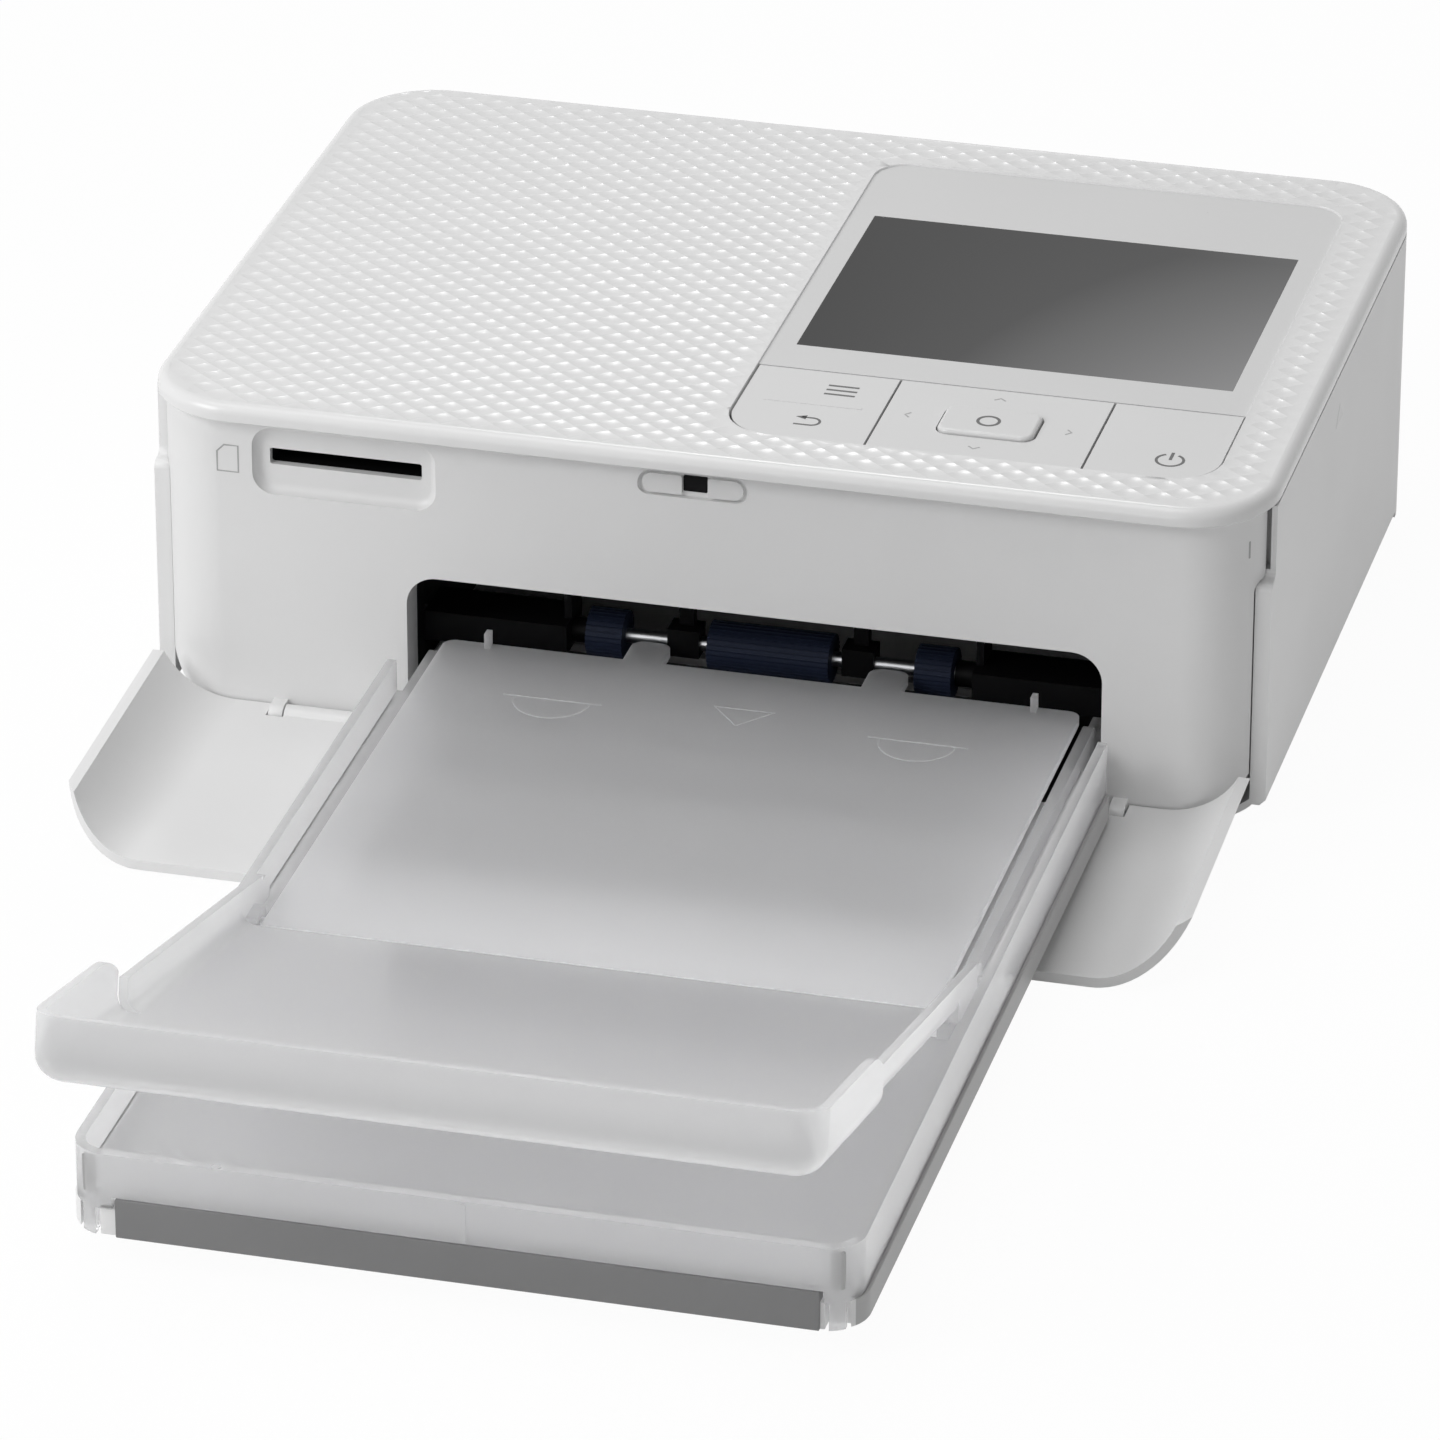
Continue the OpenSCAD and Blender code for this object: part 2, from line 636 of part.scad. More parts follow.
// Frame that carries the pivots of the keys
module key_carrier() {
    rail_z = board_z + 2.8;
    color(black) place() difference() {
        union() {
            box([panel_x - 1, panel_y - 1.4, board_z + board_t], [panel_x + 1.2, key_y1, rail_z]);
            box([panel_x1 - 3, panel_y - 1.4, board_z + board_t], [panel_x1 - 1, key_y1, rail_z]);
            box([panel_x - 1, panel_y - 1.4, board_z + board_t], [panel_x1 - 1, panel_y + 0.2, rail_z - 0.2]);
            // post pairs with the rods of the rocker and of the gimbal
            for (x = [panel_x + 3, panel_x + menu_w - 4])
                box([x, key_mid_y - 1.2, board_z + board_t], [x + 1.4, key_mid_y + 1.2, key_axis_z + 1.2]);
            for (x = [nav_mid_x - 12.6, nav_mid_x + 11.2])
                box([x, key_mid_y - 1.2, board_z + board_t], [x + 1.4, key_mid_y + 1.2, key_axis_z + 1.2]);
        }
        rod(0, 100, [key_mid_y, key_axis_z], 1 + 2 * run_fit);
    }
}

module key_cap(x0, x1, r_left, r_right) {
    translate([0, 0, panel_z - panel_t]) linear_extrude(height = panel_t) intersection() {
        rrect(r_left ? x0 : x0 - 20, panel_y + key_gap, r_right ? x1 : x1 + 20, key_y1 + 20, key_r);
        translate([x0, panel_y]) square([x1 - x0, key_d]);
    }
}

module stem(x, y) {
    translate([x, y, stem_z]) cylinder(d = 2.4, h = panel_z - panel_t - stem_z + eps);
}

module menu_back_key() {
    x0 = panel_x + key_gap;
    color(white) place() {
        key_cap(x0, x0 + menu_w, true, false);
        stem(menu_x_mid(), key_mid_y - 8);
        stem(menu_x_mid(), key_mid_y + 8);
        // pivot lugs and their rod
        for (x = [panel_x + 4.8, panel_x + menu_w - 6])
            box([x, key_mid_y - 1, key_axis_z - 1], [x + 1.4, key_mid_y + 1, panel_z - panel_t + eps]);
        rod(panel_x + 3, panel_x + menu_w - 2.6, [key_mid_y, key_axis_z], 1);
    }
}

module nav_gimbal() {
    color(black) place() {
        difference() {
            box([nav_mid_x - 10.6, key_mid_y - 7.2, key_axis_z - 0.9],
                [nav_mid_x + 10.6, key_mid_y + 7.2, key_axis_z + 0.9]);
            box([nav_mid_x - 9, key_mid_y - 5.6, key_axis_z - 2],
                [nav_mid_x + 9, key_mid_y + 5.6, key_axis_z + 2]);
            translate([nav_mid_x, 0, key_axis_z]) rotate([-90, 0, 0])
                cylinder(d = 1 + 2 * run_fit, h = 100);
        }
        rod(nav_mid_x - 12.6, nav_mid_x - 10.6, [key_mid_y, key_axis_z], 1);
        rod(nav_mid_x + 10.6, nav_mid_x + 12.6, [key_mid_y, key_axis_z], 1);
    }
}

module nav_pad() {
    color(white) place() {
        difference() {
            key_cap(nav_x, nav_x + nav_w, false, false);
            translate([0, 0, panel_z - 5]) linear_extrude(height = 10)
                rrect(nav_mid_x - ok_w / 2 - 0.3, key_mid_y - ok_d / 2 - 0.3,
                    nav_mid_x + ok_w / 2 + 0.3, key_mid_y + ok_d / 2 + 0.3, 2.3);
        }
        for (s = [-1, 1]) {
            stem(nav_mid_x + s * side_dome_x, key_mid_y);
            stem(nav_mid_x, key_mid_y + s * front_dome_y);
        }
        // lugs that hold the gimbal's cross axis
        for (s = [-1, 1]) {
            translate([nav_mid_x - 1, key_mid_y + s * 8.2 - 0.7, key_axis_z - 1])
                cube([2, 1.4, panel_z - panel_t - key_axis_z + 1 + eps]);
            translate([nav_mid_x, key_mid_y + s * 7.2, key_axis_z]) rotate([90, 0, 0])
                cylinder(d = 1, h = 3, center = true);
        }
    }
}

module ok_key() {
    color(white) place() {
        rounded_slab(nav_mid_x - ok_w / 2, key_mid_y - ok_d / 2, nav_mid_x + ok_w / 2, key_mid_y + ok_d / 2,
            panel_z - panel_t, panel_z + ok_rise, 2, 0.6);
        stem(nav_mid_x, key_mid_y);
    }
}

module power_key() {
    color(white) place() {
        key_cap(power_x, power_x + power_w, false, true);
        stem(power_x + power_w / 2, key_mid_y);
        // hook under the cover's plate that stops the key
        translate([power_x + power_w / 2 - 4, panel_y - 0.8, plate_z - 0.8]) cube([8, 2.6, 0.8]);
        translate([power_x + power_w / 2 - 4, panel_y + key_gap, plate_z - 0.8])
            cube([8, 1.4, panel_z - panel_t - plate_z + 0.8 + eps]);
    }
}

// ---------------------------------------------------------------- boards and sockets

module main_board() {
    color(green) place() {
        box([-side_in + 3.5, 12.5, board_z], [panel_x - 3, body_d - 15, board_z + board_t]);
        box([-30, 60, board_z + board_t], [-14, 76, board_z + board_t + 1.2]);
        box([-60, 40, board_z + board_t], [-48, 52, board_z + board_t + 1]);
        box([-side_in + 8.5, 90, board_z + board_t], [-side_in + 24.5, 112, board_z + board_t + 3]);
    }
}

module card_slot() {
    color(black) place() difference() {
        box([card_x - 1.6, 12.8, card_z - 0.9], [card_x + card_w + 1.6, 36, board_z]);
        box([card_x, 0, card_z], [card_x + card_w, 33, card_z + 2.8]);
    }
}

module power_inlet() {
    color(black) place() difference() {
        union() {
            box([power_x0 - 5, body_d - 12, tray_top], [power_x0 + 5, body_d - side_wall, 19]);
            front_view(body_d - side_wall, body_d - 0.4) translate([power_x0, 14]) circle(d = 8);
        }
        front_view(body_d - 10, body_d + 1) translate([power_x0, 14]) circle(d = 5.6);
    }
}

module usb_port() {
    color(steel) place() difference() {
        union() {
            box([usb_x - 6, body_d - 12, tray_top], [usb_x + 6, body_d - 5, 14]);
            front_view(body_d - 5, body_d - 0.3) rrect(usb_x - 4.7, 8.2, usb_x + 4.7, 11.4, 1.6);
        }
        front_view(body_d - 10, body_d + 1) rrect(usb_x - 4.3, 8.6, usb_x + 4.3, 11, 1.2);
    }
}

// ---------------------------------------------------------------- doors

// Door in its closed place
module door_closed() {
    z0 = door_axis_z - knuckle_r;
    z1 = rim_z - 0.4;
    hinge = [door_axis_y, door_axis_z];
    difference() {
        union() {
            intersection() {
                translate([0, 0, z0]) linear_extrude(height = z1 - z0) difference() {
                    body_outline(0);
                    body_outline(door_wall);
                    translate([-half_w - 1, side_front_y - gap]) square([body_w + 2, body_d]);
                }
                front_view(-1, 20) rrect(-half_w, z0 - 30, half_w, z1, door_corner_r);
            }
            // barrels, and the pip that snaps into the latch
            for (s = barrels) {
                rod(s[0], s[1], hinge, knuckle_r * 2);
                box([s[0], 0, z0], [s[1], door_wall, door_axis_z + 4]);
            }
            box([-1.3, door_wall - eps, latch_z + 0.3], [1.1, door_wall + 0.9, latch_z + 1.7]);
        }
        for (s = barrels) rod(s[0] - 1, s[1] + 1, hinge, door_pin_d + 2 * run_fit);
        // clearance round the knuckles of the front panel
        for (s = knuckles) rod(s[0] - gap, s[1] + gap, hinge, knuckle_r * 2 + 0.8);
    }
}

module front_door() {
    color(white) place() translate([0, door_axis_y, door_axis_z]) rotate([door_open, 0, 0])
        translate([0, -door_axis_y, -door_axis_z]) door_closed();
}

module door_hinge_pins() {
    color(steel) place() for (s = [[knuckles[0][0], -63], [barrels[1][0] + 0.4, knuckles[1][1]]])
        rod(s[0], s[1], [door_axis_y, door_axis_z], door_pin_d);
}

module ink_door() {
    color(white) place() difference() {
        union() {
            side_view(side_in, half_w) side_outline();
            // hinge barrels inside the lower edge
            for (y = [24, 97.2]) translate([ink_axis_x, y, ink_axis_z]) rotate([-90, 0, 0])
                cylinder(d = 3.4, h = 8);
        }
        // thin front edge above the step
        box([side_in - eps, side_front_y, side_step_z + side_step],
            [half_w - 0.9, side_front_y + side_step + 2.2, body_h]);
        // bevel that lets the lower edge turn past the tray
        translate([half_w, 0, side_z]) rotate([0, 45, 0]) cube([1.4, 300, 1.4], center = true);
        // bores of the barrels and notches round the arms
        for (y = [24, 97.2]) translate([ink_axis_x, y - 1, ink_axis_z]) rotate([-90, 0, 0])
            cylinder(d = ink_pin_d + 2 * run_fit, h = 10);
        for (y = [20.2, 105.2]) box([side_in - 1, y, 0], [ink_axis_x + 1.1, y + 3.8, ink_axis_z + 1.2]);
    }
}

// ---------------------------------------------------------------- frame

module plate_outline() {
    translate([plate_front, tray_top]) square([plate_rear - plate_front, plate_top - tray_top]);
    // tabs that carry the boards
    for (y = [44, 94]) translate([y, plate_top - 1]) square([6, board_z - plate_top + 1]);
}

module shaft_holes() {
    translate(pickup_c) circle(d = pickup_shaft_d + 2 * run_fit);
    for (c = [platen_c, capstan_c]) translate(c) circle(d = shaft_d + 2 * run_fit);
    translate([capstan_y, pinch_z()]) circle(d = 3 + 2 * run_fit);
    translate(head_c()) circle(d = 4);
}

function pinch_z() = capstan_z + 8.4;
function head_c() = [112, plate_top - 5];

module left_frame_plate() {
    color(grey) place() side_view(left_plate_x - plate_t, left_plate_x) difference() {
        plate_outline();
        shaft_holes();
        translate(takeup_c) circle(d = shaft_d + 2 * run_fit);
    }
    // stub that carries the supply spool
    color(grey) place() rod(left_plate_x - eps, left_plate_x + 6, [supply_y, spool_z], shaft_d);
}

module right_frame_plate() {
    color(grey) place() side_view(right_plate_x, right_plate_x + plate_t) difference() {
        plate_outline();
        shaft_holes();
        // opening for the ribbon cartridge
        translate([supply_y - shell_r - 1, spool_z - 7]) square([2 * spool_pitch + 2 * shell_r + 2, 30]);
        for (c = [[supply_y, spool_z], takeup_c]) translate(c) circle(r = shell_r + 0.8);
    }
}

module frame_crossbars() {
    color(steel) place() {
        for (y = [34, 122]) rod(left_plate_x, right_plate_x, [y, plate_top - 2.5], 4);
        rod(left_plate_x, right_plate_x, [114, 7], 4);
    }
}

// Black lining of the mouth with the blocks and clips that hold the pickup shaft
module feed_guide() {
    block_z0 = narrow_low_z + gap;
    block_z1 = 19;
    block_x0 = path_x - 33.5;
    block_x1 = path_x + 33;
    color(black) place() difference() {
        union() {
            // ceiling and the two cheeks behind the white frame of the mouth
            box([mouth_x0 - 1.4, mouth_wall_y + 0.1, mouth_top], [mouth_x1 + 1.4, 30, mouth_top + 1.4]);
            for (x = [mouth_x0 - 1.4, mouth_x1])
                box([x, mouth_wall_y + 0.1, tray_top + gap], [x + 1.4, 13, mouth_top + eps]);
            // side blocks
            box([mouth_x0 - eps, 12.8, block_z0], [block_x0, 22, block_z1]);
            box([block_x1, 12.8, block_z0], [mouth_x1 + eps, 22, block_z1]);
            // bosses round the shaft
            rod(block_x0 - eps, roller_x - pickup_pitch - pickup_narrow / 2 - gap, pickup_c, 4.2);
            rod(roller_x + pickup_pitch + pickup_narrow / 2 + gap, block_x1 + eps, pickup_c, 4.2);
            // webs from the blocks up to the ceiling
            for (x = [block_x0 - 1.2, block_x1]) box([x, 16, block_z1 - eps], [x + 1.2, 22, mouth_top + eps]);
            // clips round the shaft
            for (x = [-17.7, 11]) {
                box([path_x + x, 16, block_z0 + 0.4], [path_x + x + 5.2, 20.4, block_z1]);
                box([path_x + x + 1.4, 18.4, block_z1 - eps], [path_x + x + 3.8, 20.4, mouth_top + eps]);
            }
        }
        rod(left_plate_x - 1, right_plate_x + 1, pickup_c, pickup_shaft_d + 2 * run_fit);
    }
}

// ---------------------------------------------------------------- feed

module pickup_shaft() {
    color(steel) place() rod(gear_x - gear_w - 0.3, right_plate_x + plate_t, pickup_c, pickup_shaft_d);
}

module ribbed_roller(x, w) {
    rib = 360 / pickup_ribs;
    side_view(x - w / 2, x + w / 2) translate(pickup_c) difference() {
        polygon([for (i = [0 : pickup_ribs - 1]) for (p = [[0, 1], [0.6, 1], [0.7, 0.93], [0.9, 0.93]])
            p[1] * pickup_d / 2 * [cos((i + p[0]) * rib), sin((i + p[0]) * rib)]]);
        circle(d = pickup_shaft_d);
    }
}

module pickup_rollers() {
    color(navy) place() {
        ribbed_roller(roller_x, pickup_wide);
        for (s = [-1, 1]) ribbed_roller(roller_x + s * pickup_pitch, pickup_narrow);
    }
}

module pickup_gear() {
    color(white) place() gear(gear_x, pickup_c, pickup_n, pickup_f, pickup_shaft_d);
}

module platen_shaft() {
    color(steel) place() rod(train_x - gear_w - 0.3, right_plate_x + plate_t, platen_c, shaft_d);
}

module platen_roller() {
    color(black) place() difference() {
        rod(path_x - 53, path_x + 53, platen_c, platen_d);
        rod(path_x - 54, path_x + 54, platen_c, shaft_d);
    }
}

module platen_gear() {
    color(white) place() gear(gear_x, platen_c, platen_n, platen_f, shaft_d, 2 * gear_w + 0.4);
}

module capstan_roller() {
    color(steel) place() {
        rod(path_x - 52, path_x + 52, capstan_c, 8);
        rod(gear_x - gear_w - 0.3, right_plate_x + plate_t, capstan_c, shaft_d);
    }
}

module capstan_gear() {
    color(white) place() gear(gear_x, capstan_c, capstan_n, capstan_f, shaft_d);
}

module pinch_roller() {
    color(black) place() {
        rod(path_x - 50, path_x + 50, [capstan_y, pinch_z()], 8);
        rod(left_plate_x - plate_t, right_plate_x + plate_t, [capstan_y, pinch_z()], 3);
    }
}

module idler(c, n, f) {
    color(white) place() gear(gear_x, c, n, f, idler_pin_d + 2 * run_fit);
}

module idler_gear_a() { idler(idler_a_c, idler_a_n, idler_a_f); }
module idler_gear_b() { idler(idler_b_c, idler_b_n, idler_b_f); }
module idler_gear_c() { idler(idler_c_c, idler_c_n, idler_c_f); }

module idler_pins() {
    color(steel) place() for (c = [idler_a_c, idler_b_c, idler_c_c])
        rod(gear_x - gear_w - 0.3, left_plate_x - plate_t, c, idler_pin_d);
}

module gear_bracket() {
    color(grey) place() {
        side_view(bracket_x - bracket_t, bracket_x) difference() {
            translate([62, tray_top]) square([40.4, plate_top - 6 - tray_top]);
            translate(platen_c) circle(d = shaft_d + 2);
            translate(pinion_c) circle(d = 4);
            translate(takeup_c) circle(d = shaft_d + 2);
        }
        for (c = [[64, plate_top - 7], [100, takeup_c[1] - 3.4]])
            rod(bracket_x - eps, left_plate_x - plate_t, c, 4);
    }
}

module feed_motor() {
    color(steel) place() {
        rod(-side_in + 6.3, bracket_x - bracket_t, pinion_c, 24);
    }
}

module motor_pinion() {
    color("goldenrod") place() {
        gear(train_x, pinion_c, pinion_n, pinion_f, 0);
        rod(bracket_x - bracket_t + 0.1, train_x - gear_w + eps, pinion_c, 2);
    }
}

module takeup_gear() {
    color(white) place() {
        gear(train_x, takeup_c, takeup_n, takeup_f, 0);
        rod(train_x - eps, left_plate_x + 6, takeup_c, shaft_d);
    }
}

// ---------------------------------------------------------------- head and ribbon

module head_arm() {
    arm_z = board_z - 3.4;
    color(steel) place() {
        box([path_x - 50, platen_y - 3, arm_z - 1.2], [path_x + 50, 114, arm_z]);
        box([path_x - 50, platen_y - 3, platen_z + 12], [path_x + 50, platen_y - 1.6, arm_z]);
        for (x = [-50, 48.6]) difference() {
            box([path_x + x, 108, head_c()[1] - 3], [path_x + x + 1.4, 115.2, arm_z]);
            rod(path_x + x - 1, path_x + x + 3, head_c(), 4 + 2 * run_fit);
        }
    }
}

module thermal_head() {
    sink_z = platen_z + 8;
    color(grey) place() {
        box([path_x - 52, platen_y - 1.6, sink_z], [path_x + 52, platen_y + 4.4, sink_z + 10]);
        box([path_x - 52, platen_y - 1.6, platen_z + platen_d / 2 + 0.35],
            [path_x + 52, platen_y + 1.6, sink_z + 0.1]);
    }
}

module head_pivot_rod() {
    color(steel) place() rod(left_plate_x - plate_t, right_plate_x + plate_t, head_c(), 4);
}

module ribbon_cartridge() {
    x0 = left_plate_x + 1;
    x1 = cartridge_x1;
    color(grey) place() {
        for (y = [supply_y, takeup_y]) side_view(x0 + 1.6, x1 - 1.6) difference() {
            translate([y, spool_z]) circle(r = shell_r);
            translate([y, spool_z]) circle(r = shell_r - 1.2);
            translate([y - 20, spool_z - 40]) square(40);
        }
        for (x = [x0, x1 - 1.6]) side_view(x, x + 1.6) difference() {
            union() {
                for (y = [supply_y, takeup_y]) translate([y, spool_z]) circle(r = shell_r);
                translate([supply_y, spool_z + 2]) square([2 * spool_pitch, shell_r - 2]);
            }
            for (y = [supply_y, takeup_y]) translate([y, spool_z]) circle(d = 7 + 2 * run_fit);
            if (x == x0) translate([platen_y - 7, spool_z - 5]) square([14, 30]);
        }
        // bar that joins the ends beside the head
        box([x1 - 10, supply_y + shell_r - 1, spool_z + 5], [x1, takeup_y - shell_r + 1, spool_z + 10]);
    }
}

module spool(y, roll_r) {
    x0 = left_plate_x + 1;
    difference() {
        union() {
            rod(x0, cartridge_x1, [y, spool_z], 7);
            rod(path_x - 50, path_x + 50, [y, spool_z], 2 * roll_r);
        }
        rod(x0 - 1, x0 + 12, [y, spool_z], shaft_d + 2 * run_fit);
    }
}

module supply_spool() { color(black) place() spool(supply_y, 8.7); }
module takeup_spool() { color(black) place() spool(takeup_y, 6); }

module ribbon_film() {
    z = platen_z + platen_d / 2 + 0.1;
    t = 0.15;
    color([0.2, 0.2, 0.25]) place() side_view(path_x - 50, path_x + 50)
        polygon([[supply_y, z], [platen_y + 4, z], [takeup_y, spool_z - 6.3], [takeup_y, spool_z - 6.3 + t],
            [platen_y + 4, z + t], [supply_y, z + t]]);
}

// ---------------------------------------------------------------- cassette

// Plan of the cassette: wide part with round front corners, narrow part behind
module cassette_plan(wide, narrow, front, rear, r) {
    intersection() {
        rrect(path_x - wide, -front, path_x + wide, 40, r);
        translate([path_x - wide, -front - 1]) square([2 * wide, front + 1 - cas_step]);
    }
    translate([path_x - narrow, -cas_step - 1]) square([2 * narrow, rear + cas_step + 1]);
}

module cassette_base() {
    front = cas_front - 0.6;
    color(pale) place() difference() {
        union() {
            translate([0, 0, cas_z]) linear_extrude(height = cas_bottom - cas_z)
                cassette_plan(cas_half, cas_in_half, front, cas_rear, cas_r);
            translate([0, 0, cas_z]) linear_extrude(height = cas_band_z - cas_z) difference() {
                cassette_plan(cas_half, cas_in_half, front, cas_rear, cas_r);
                cassette_plan(cas_half - 2, cas_in_half - 2, front - 2, cas_rear - 2, cas_r - 2);
            }
            // lugs of the lift plate
            for (x = [-52.4, 50.8]) difference() {
                box([path_x + x, -71.6, cas_bottom - eps], [path_x + x + 1.6, -66.4, cas_band_z]);
                rod(path_x + x - 1, path_x + x + 3, [-69, cas_bottom + 1.6], 1.6 + 2 * run_fit);
            }
            // grey bar along the front
            box([bar_x0, -cas_front, cas_z], [bar_x1, -front + 1.8, bar_z]);
        }
        // notches for the frame's corner hooks
        for (s = [-1, 1]) translate([path_x + s * (post_x0 + post_x1) / 2 - 1.7, -cas_front - 1, cas_z - 1])
            cube([3.4, 4.2, cas_band_z - cas_z + 2]);
    }
}

module cassette_frame() {
    r = cas_r - 0.5;
    color(frost) place() difference() {
        union() {
            // outer walls of the wide part
            translate([0, 0, cas_band_z]) linear_extrude(height = cas_rim_z - cas_band_z) difference() {
                cassette_plan(frame_half, cas_in_half, frame_front, cas_rear, r);
                cassette_plan(frame_half - cas_wall, cas_in_half - cas_wall, frame_front - cas_wall,
                    cas_rear + 1, r - cas_wall);
                translate([path_x - 100, -cas_step]) square([200, 60]);
            }
            // hooks that reach down into the base at the front corners
            translate([0, 0, cas_z]) linear_extrude(height = cas_band_z - cas_z + 1) intersection() {
                cassette_plan(frame_half, cas_in_half, frame_front, cas_rear, r);
                for (x = [path_x - post_x1, path_x + post_x0])
                    translate([x, -cas_front]) square([post_x1 - post_x0, 2.4]);
            }
            // walls of the narrow part
            for (s = [-1, 1]) {
                x0 = s < 0 ? path_x - cas_in_half : path_x + lip_half;
                box([x0, -lid_front - 1, cas_band_z], [x0 + 1.8, 6, narrow_z]);
                box([x0, 6 - eps, cas_band_z], [x0 + 1.8, cas_rear, narrow_low_z]);
                // ear that holds the lid's pin
                box([x0, lid_axis_y - 2.4, narrow_z - 1], [x0 + 1.8, lid_axis_y + 2.4, cas_rim_z]);
            }
            box([path_x - cas_in_half, cas_rear - 2, cas_band_z], [path_x + cas_in_half, cas_rear, 10.4]);
            // channel floor beside the lid
            for (s = [-1, 1]) {
                x0 = s < 0 ? path_x - frame_half + cas_wall - eps : path_x + lip_half;
                box([x0, -lid_front - 1, deck_z - deck_t],
                    [x0 + frame_half - cas_wall - lip_half + eps, -cas_step, deck_z]);
            }
            // deck in front of the lid
            translate([0, 0, deck_z - deck_t]) linear_extrude(height = deck_t) intersection() {
                cassette_plan(frame_half - 1, cas_in_half, frame_front - 1, cas_rear, r - 1);
                translate([path_x - 100, -cas_front]) square([200, cas_front - lid_front - gap]);
            }
        }
        // holes of the cover's and the lid's trunnions
        rod(path_x - cas_half + 1, path_x + cas_half - 1, [-cover_axis_y, cover_axis_z],
            cover_pin_d + 2 * run_fit);
        rod(path_x - lip_half - 1.85, path_x + lip_half + 1.85, [lid_axis_y, lid_axis_z],
            lid_pin_d + 2 * run_fit);
        // opening for the front bar
        box([bar_x0 - 0.6, -cas_front - 1, cas_band_z - 1], [bar_x1 + 0.6, -cas_front + 2.8, bar_z + 0.1]);
    }
}

module paper_lift_plate() {
    color(grey) place() {
        box([path_x - 48, -70, cas_bottom + 1.2], [path_x + 48, 22, cas_bottom + 2]);
        rod(path_x - 52, path_x + 52, [-69, cas_bottom + 1.6], 1.6);
    }
}

module inner_lid() {
    z0 = lid_z - lid_t;
    tab_x = 19.5;
    tab_half = 3.2;
    color(frost) place() {
        translate([0, 0, z0]) linear_extrude(height = lid_t) {
            intersection() {
                rrect(path_x - lid_half, -lid_front - 20, path_x + lid_half, lid_rear, 2);
                translate([path_x - lid_half, -lid_front]) square([lid_w, lid_front + lid_rear]);
            }
            // two tabs between the rollers
            for (s = [-1, 1]) translate([path_x + s * tab_x, 0])
                rrect(-tab_half, lid_rear - 4, tab_half, lid_rear + 7, 2);
        }
        // hooks near the rear corners
        for (s = [-1, 1]) translate([path_x + s * lid_hook_x - 0.45, lid_rear - 2, lid_z - eps])
            cube([0.9, 1.8, 2.6]);
        for (s = [-1, 1]) translate([path_x + s * (lid_half + 0.6), lid_axis_y, lid_axis_z])
            rotate([0, 90, 0]) cylinder(d = lid_pin_d, h = 3, center = true);
    }
}

// Tray with a round lower edge, between the distances s0 and s1 from the axis
module cover_tray(w, len, s0, s1, z0, z1, r, e) {
    intersection() {
        mirror([0, 0, 1]) rounded_slab(-w, -len, w, 40, -z1, -z0, r, e);
        translate([-w - 1, -s1, z0 - 1]) cube([2 * w + 2, s1 - s0, z1 - z0 + 2]);
    }
}

// Cover as it lies level: the axis at the origin, the tray opening upwards
module cover_level() {
    w = cover_w / 2;
    front_w = cover_front_w / 2;
    low = -cover_drop;
    floor_z = low + cover_t;
    side_z1 = low + cover_side_h;
    top = low + cover_front_h;
    ear_arc_r = 13;
    ear_arc_len = 8;
    slit = 0.6;
    difference() {
        union() {
            cover_tray(w, cover_len + 20, cover_start, ear_s + eps, low, side_z1, cover_r, cover_edge_r);
            cover_tray(front_w, cover_len, ear_s, cover_len + 1, low, top, cover_r, cover_edge_r);
        }
        cover_tray(w - cover_t, cover_len + 20, 0, ear_s + 1, floor_z, top + 1, cover_r - cover_t,
            cover_edge_r - cover_t);
        cover_tray(front_w - cover_t, cover_len - cover_t, ear_s - eps, cover_len, floor_z, top + 1,
            cover_r - cover_t, cover_edge_r - cover_t);
        // round rear corner of the ears
        side_view(-front_w - 1, front_w + 1) difference() {
            translate([-ear_s - ear_arc_len, side_z1]) square([ear_arc_len + 1, cover_front_h]);
            translate([-ear_s - ear_arc_len, top - ear_arc_r]) circle(r = ear_arc_r);
        }
        // slit between each ear and its side wall
        translate([-w - 1, -ear_s, floor_z]) cube([2 * w + 2, slit, cover_front_h]);
    }
    for (s = [-1, 1]) {
        translate([s * (w - cover_t / 2), 0, 0]) rotate([0, 90, 0])
            cylinder(r = 2.9, h = cover_t, center = true);
        translate([s * (w + 0.5), 0, 0]) rotate([0, 90, 0])
            cylinder(d = cover_pin_d, h = 2.6, center = true);
        translate([s * (w - cover_t / 2) - cover_t / 2, -cover_start - 1, low])
            cube([cover_t, cover_start - 0.6, cover_side_h]);
    }
}

module outer_cover() {
    color(frost) place() translate([path_x, -cover_axis_y, cover_axis_z])
        rotate([-cover_tilt, 0, 0]) cover_level();
}

bottom_tray();
front_panel();
left_side_cover();
rear_panel();
top_cover();
rubber_feet();
control_panel();
lcd_window();
lcd_module();
key_carrier();
key_board();
main_board();
card_slot();
menu_back_key();
nav_gimbal();
nav_pad();
ok_key();
power_key();
front_door();
door_hinge_pins();
ink_door();
left_frame_plate();
right_frame_plate();
frame_crossbars();
feed_guide();
pickup_shaft();
pickup_rollers();
pickup_gear();
platen_shaft();
platen_roller();
platen_gear();
capstan_roller();
capstan_gear();
pinch_roller();
idler_gear_a();
idler_gear_b();
idler_gear_c();
idler_pins();
gear_bracket();
feed_motor();
motor_pinion();
takeup_gear();
head_arm();
thermal_head();
head_pivot_rod();
ribbon_cartridge();
supply_spool();
takeup_spool();
ribbon_film();
cassette_base();
cassette_frame();
paper_lift_plate();
inner_lid();
outer_cover();
power_inlet();
usb_port();
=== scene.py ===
import math

import bmesh
import bpy
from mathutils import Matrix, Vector
from mathutils.geometry import delaunay_2d_cdt


